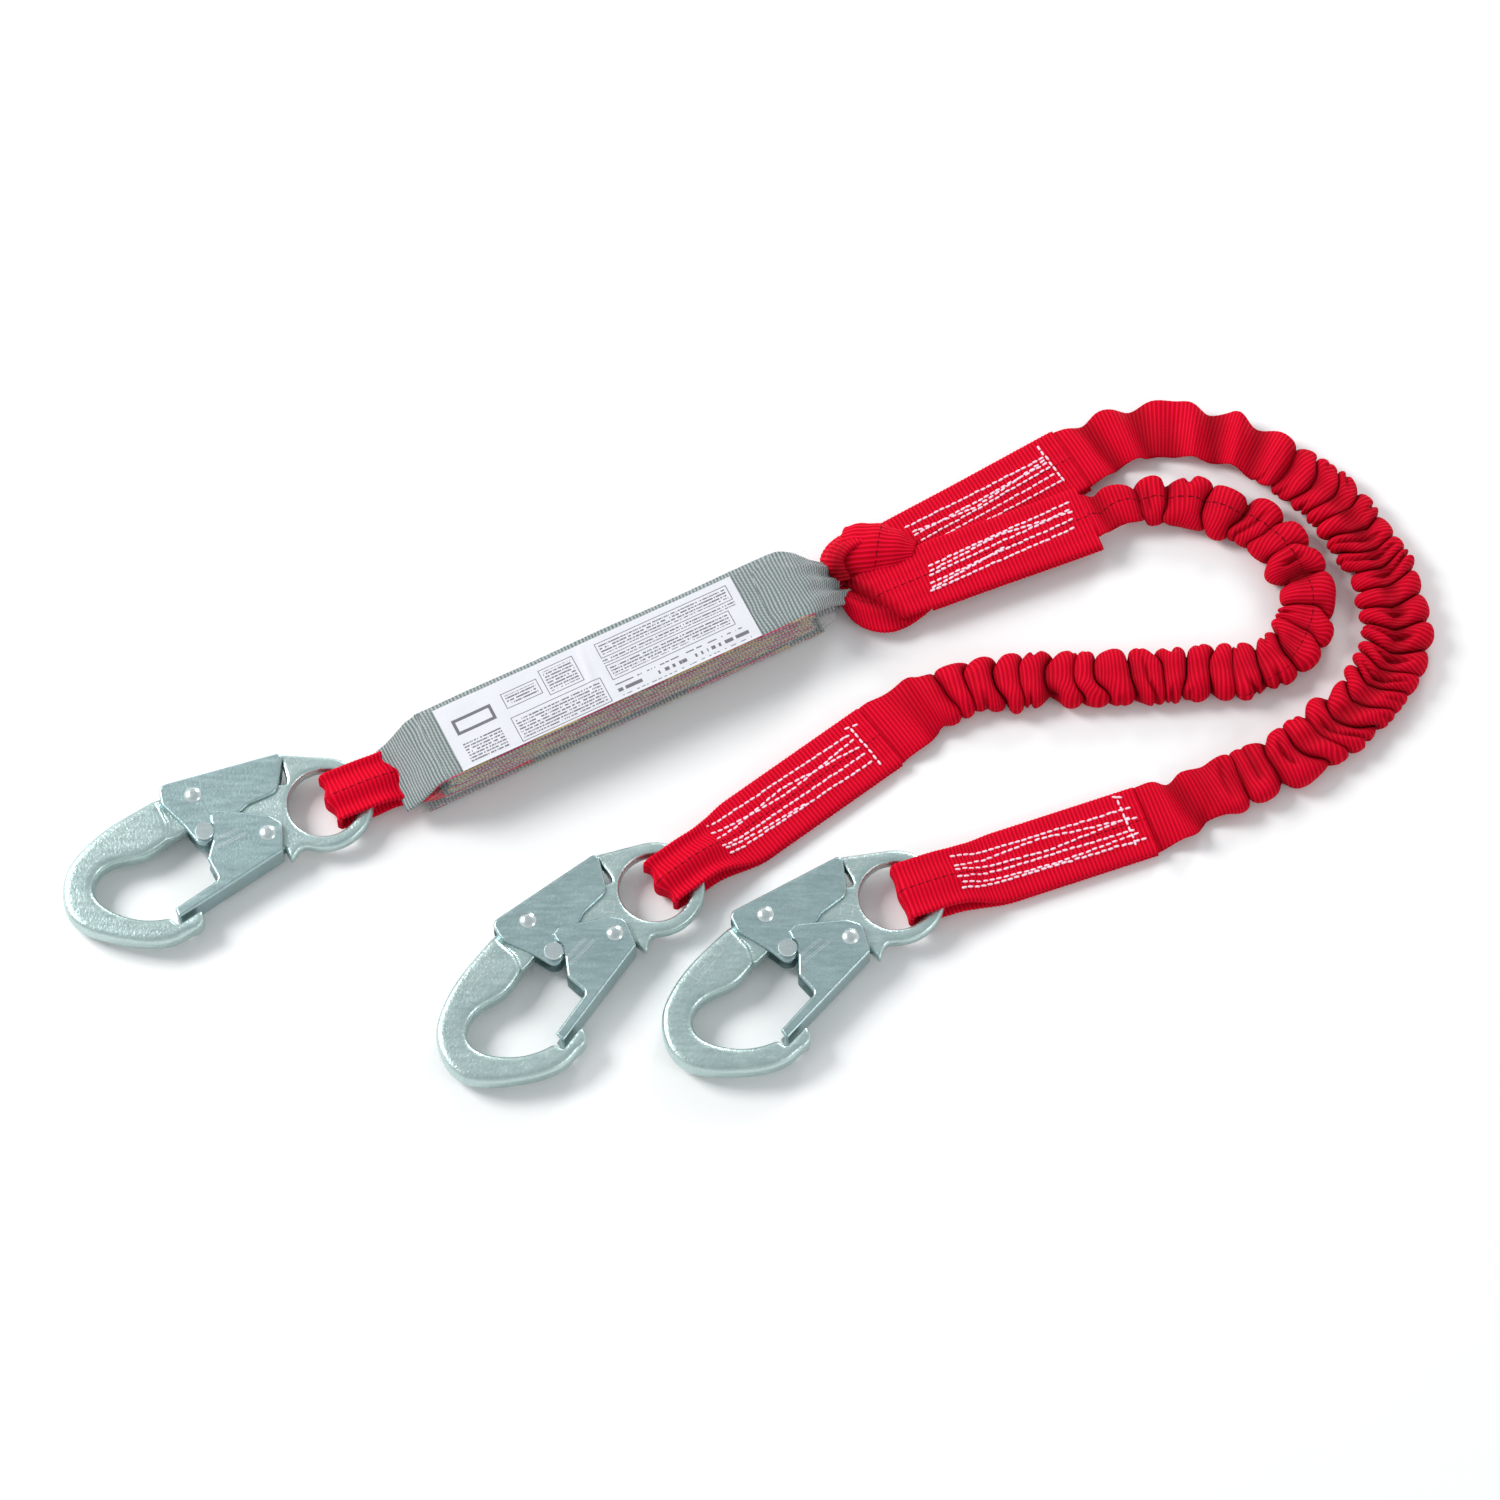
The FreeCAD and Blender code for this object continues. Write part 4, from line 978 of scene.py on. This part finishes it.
def small_print(rows, letters, fill):
    """Plain dashes in rows, in place of words: a thin line of each row, broken by noise."""
    at_row = times(parts["Y"], rows)
    row_middle = figure("COMPARE", figure("FRACT", at_row), 0.5, 0.24)
    own_row = times(figure("FLOOR", at_row), 7.3)
    spot = add_node(tree, "CombineXYZ", X=times(parts["X"], letters), Y=own_row)
    words = noise(spot.outputs[0], 1.0, 1.0)
    return times(row_middle, figure("LESS_THAN", words, fill))


frames = (
    (0.205, 0.325, 0.60, 0.84), (0.34, 0.455, 0.52, 0.93), (0.20, 0.50, 0.06, 0.46),
    (0.53, 0.975, 0.70, 0.94), (0.53, 0.945, 0.34, 0.58),
)
line_x, line_y = 0.0026, 0.0115
ink = 0.0
printed = patch(0.035, 0.16, 0.08, 0.42)
for left, right, low, high in frames:
    inner = patch(left + line_x, right - line_x, low + line_y, high - line_y)
    ink = figure("MAXIMUM", ink, figure("SUBTRACT", patch(left, right, low, high), inner))
    text = patch(left + 0.010, right - 0.010, low + 0.045, high - 0.045)
    printed = figure("MAXIMUM", printed, text)
printed = figure("MAXIMUM", printed, patch(0.53, 0.975, 0.61, 0.68))
ink = figure("MAXIMUM", ink, times(small_print(22.0, 210.0, 0.56), printed))
bold_row = patch(0.53, 0.97, 0.07, 0.27)
ink = figure("MAXIMUM", ink, times(small_print(9.0, 60.0, 0.50), bold_row))
empty_box = figure("SUBTRACT", patch(0.035, 0.165, 0.54, 0.78), patch(0.045, 0.155, 0.585, 0.735))
ink = figure("MAXIMUM", times(ink, 0.88), times(empty_box, 0.9))
feed(shader["Base Color"], blended(ink, (0.66, 0.66, 0.70, 1), (0.05, 0.05, 0.07, 1)))
finished(label, label_stock, "pack_label")


def shrunk_film():
    """Clear film, a boxy ring carried along the pack: across = a |cos q|^0.3 and up = b |sin q|^0.3,
    pulled in round the web at both ends, with small ripples along it where it has shrunk most."""
    grid = 260, 97
    x = np.linspace(-0.106, 0.106, grid[0])[:, None]
    turn = np.linspace(0, 2 * np.pi, grid[1])[None, :]
    ends = clipped((np.abs(x) - 0.086) / 0.020) ** 1.6
    left_end = x < 0
    half_wide = 0.0191 - ends * np.where(left_end, 0.0012, 0.0020)
    low = 0.0003 + 0.0012 * ends
    high = 0.0304 - ends * np.where(left_end, 0.0150, 0.0060)
    boxy = 0.3 + 0.25 * ends
    ripple = (0.00022 + 0.0006 * ends) * np.cos(turn * 17 + 3 * wander(grid, (14, 6), 5))
    ripple = ripple * wander(grid, (40, 5), 6)
    across = (half_wide - 0.0003 + ripple) * drawn_out(np.cos(turn), boxy)
    up = (high + low) / 2 + ((high - low) / 2 + ripple) * drawn_out(np.sin(turn), boxy)
    outer = layered(x, across, np.clip(up, 0.0003, 0.0306))[:, :-1]
    _, _, quads = ring_quads(*outer.shape[:2])
    obj = smooth_piece("pack_film", on_pack(outer.reshape(-1, 3)), quads.tolist())
    wall = obj.modifiers.new("wall", "SOLIDIFY")
    wall.thickness = 0.00015
    wall.offset = -1
    return obj


film_tint = (0.80, 0.84, 0.85, 1)
clear_film, tree, shader = new_material("clear_film", Base_Color=film_tint, Specular_IOR_Level=0.7)
crinkle = noise(piece_place(tree), 90.0, 4.0, Distortion=1.2)
film_bump = bumped(shader, 0.35, 0.0012, crinkle)
rim = add_node(tree, "LayerWeight", Blend=0.35, Normal=film_bump.outputs["Normal"])
feed(shader["Alpha"], between(figure("POWER", rim.outputs["Facing"], 2.0), 0.02, 0.20))
feed(shader["Roughness"], between(crinkle, 0.05, 0.22))
finished(shrunk_film(), clear_film, "shrink_cover")


# ---------------- snap hooks
# Forged steel hooks with a pressed gate and thumb lever, all clear zinc plated: a bluish gray-green
# satin, with brighter rivet heads.
def zinc_group():
    """Zinc plate.  From a place on the piece it works out a cloudy shade, a fine grain and faint
    rubbed streaks, all of 0 to 1."""
    group, given, result = new_group("zinc_plate", "Place", {"Grain Scale": 900.0}, ("Cloud", "Grain", "Rub"))
    place = given["Place"]
    drawn = add_node(group, "VectorMath", {"operation": "MULTIPLY"}, Vector=place)
    drawn.inputs[1].default_value = (1.0, 6.0, 1.0)
    rub = noise(drawn.outputs[0], 90.0, 2.0, Distortion=0.2)
    feed(result["Cloud"], noise(place, 55.0, 5.0, Roughness=0.62))
    feed(result["Grain"], noise(place, given["Grain Scale"], 2.0))
    feed(result["Rub"], between(rub, -0.3, 1.3))
    return group


zinc_plate = zinc_group()


def plated(name, dull, bright, low_rough, high_rough, grain_depth, height=None):
    """Zinc plated steel between a dull and a bright colour, with its own roughness and grain.
    height is a function of the tree that gives a stamped mark's height, from 0 to 1."""
    material, tree, shader = new_material(name, Metallic=0.9)
    plate = add_node(tree, "Group", {"node_tree": zinc_plate}, Grain_Scale=900.0)
    feed(plate.inputs["Place"], piece_place(tree))
    speckle = times_plus(plate.outputs["Grain"], 1.1, -0.30)
    shade = times_plus(plate.outputs["Cloud"], 0.7, times(speckle, 0.5))
    colour = blended(shade, dull, bright)
    feed(shader["Roughness"], between(plate.outputs["Rub"], low_rough, high_rough))
    bump = bumped(shader, 0.8, grain_depth, plate.outputs["Grain"])
    if height is not None:
        raised = height(tree)
        mark = add_node(tree, "Bump", Strength=1.0, Distance=0.0006, Height=raised)
        feed(bump.inputs["Normal"], mark.outputs["Normal"])
        colour = blended(times(raised, 0.30), colour, (0.86, 0.92, 0.91, 1))
    feed(shader["Base Color"], colour)
    return material


def stamped(eye, heading_deg, panels):
    """Height of plain stamped panels (left, right, low, high, turn in degrees, rim, in mm) laid out in
    a hook's own frame: only the rim of each panel stands up."""
    def height(tree):
        local = add_node(tree, "Mapping", {"vector_type": "TEXTURE"}, Vector=piece_place(tree))
        local.inputs["Location"].default_value = eye
        local.inputs["Rotation"].default_value = (0, 0, math.radians(heading_deg))
        parts = parts_of(local.outputs[0])
        total = 0.0
        for left, right, low, high, turned, rim in panels:
            left, right, low, high, rim = (value / 1000 for value in (left, right, low, high, rim))
            c, s = math.cos(math.radians(turned)), math.sin(math.radians(turned))
            dx = figure("SUBTRACT", parts["X"], (left + right) / 2)
            dy = figure("SUBTRACT", parts["Y"], (low + high) / 2)
            x = times_plus(dx, c, times(dy, s))
            y = times_plus(dy, c, times(dx, -s))
            for grow, sign in ((0.0, 1.0), (-rim, -1.0)):
                box = within(x, y, 0.0, 0.0, right - left + 2 * grow, high - low + 2 * grow)
                total = figure("ADD", total, times(box, sign))
        return total

    return height


def rolled_forging(name, node):
    """The drop forging with its edges rolled over: a merged copy of the body in even small faces,
    whose points are moved many times towards the middle of their neighbours."""
    mesh = node.data.copy()
    welded = bmesh.new()
    welded.from_mesh(mesh)
    bmesh.ops.remove_doubles(welded, verts=welded.verts, dist=0.000002)
    welded.to_mesh(mesh)
    welded.free()
    mesh.materials.clear()
    forging = bpy.data.objects.new(name, mesh)
    scene.collection.objects.link(forging)
    even = forging.modifiers.new("even_faces", "REMESH")
    even.mode = "VOXEL"
    even.voxel_size = 0.00050
    even.use_smooth_shade = True
    rolled = forging.modifiers.new("rolled_edges", "SMOOTH")
    rolled.factor = 0.5
    rolled.iterations = 40
    return forging


forged_colours = (0.34, 0.47, 0.46, 1), (0.66, 0.80, 0.78, 1)
pressed_colours = (0.26, 0.38, 0.39, 1), (0.52, 0.66, 0.66, 1)
headed = plated("headed_zinc", (0.52, 0.60, 0.60, 1), (0.80, 0.88, 0.88, 1), 0.20, 0.30, 0.00001)
wire = plated("spring_wire", (0.22, 0.23, 0.24, 1), (0.42, 0.43, 0.45, 1), 0.22, 0.38, 0.00002)
lever_zinc = plated("pressed_zinc", *pressed_colours, 0.26, 0.42, 0.00014)
for number, (eye, heading_deg) in hook_places.items():
    bowl_marks = stamped(eye, heading_deg, (
        (-95, -75, 28, 35, 12, 0.8), (-7, -1, 21.5, 27.5, 10, 0.7), (-24, -18, 6, 12, 40, 0.7),
        (-90, -86, 30, 33, 12, 0.6), (-84, -80, 30, 33, 12, 0.6),
    ))
    gate_marks = stamped(eye, heading_deg, ((-56, -40, 4.5, 6, 0, 0.6), (-54, -38, 1, 2.5, 0, 0.6)))
    forged = plated(f"forged_zinc_{number}", *forged_colours, 0.26, 0.40, 0.00022, bowl_marks)
    cheek = plated(f"pressed_zinc_{number}", *pressed_colours, 0.26, 0.42, 0.00014, gate_marks)
    forging = rolled_forging(f"hook_{number}_forging", nodes[f"hook_{number}_body"])
    finished(forging, forged, f"hook_{number}_body", body=f"hook_{number}")
    finishes = {
        "gate": cheek, "lever": lever_zinc, "gate_rivet": headed, "lever_rivet": headed,
        "lock_pin": headed, "gate_spring": wire, "lever_spring": wire,
    }
    for label, material in finishes.items():
        worn = nodes[f"hook_{number}_{label}"].data.materials
        worn.clear()
        worn.append(material)
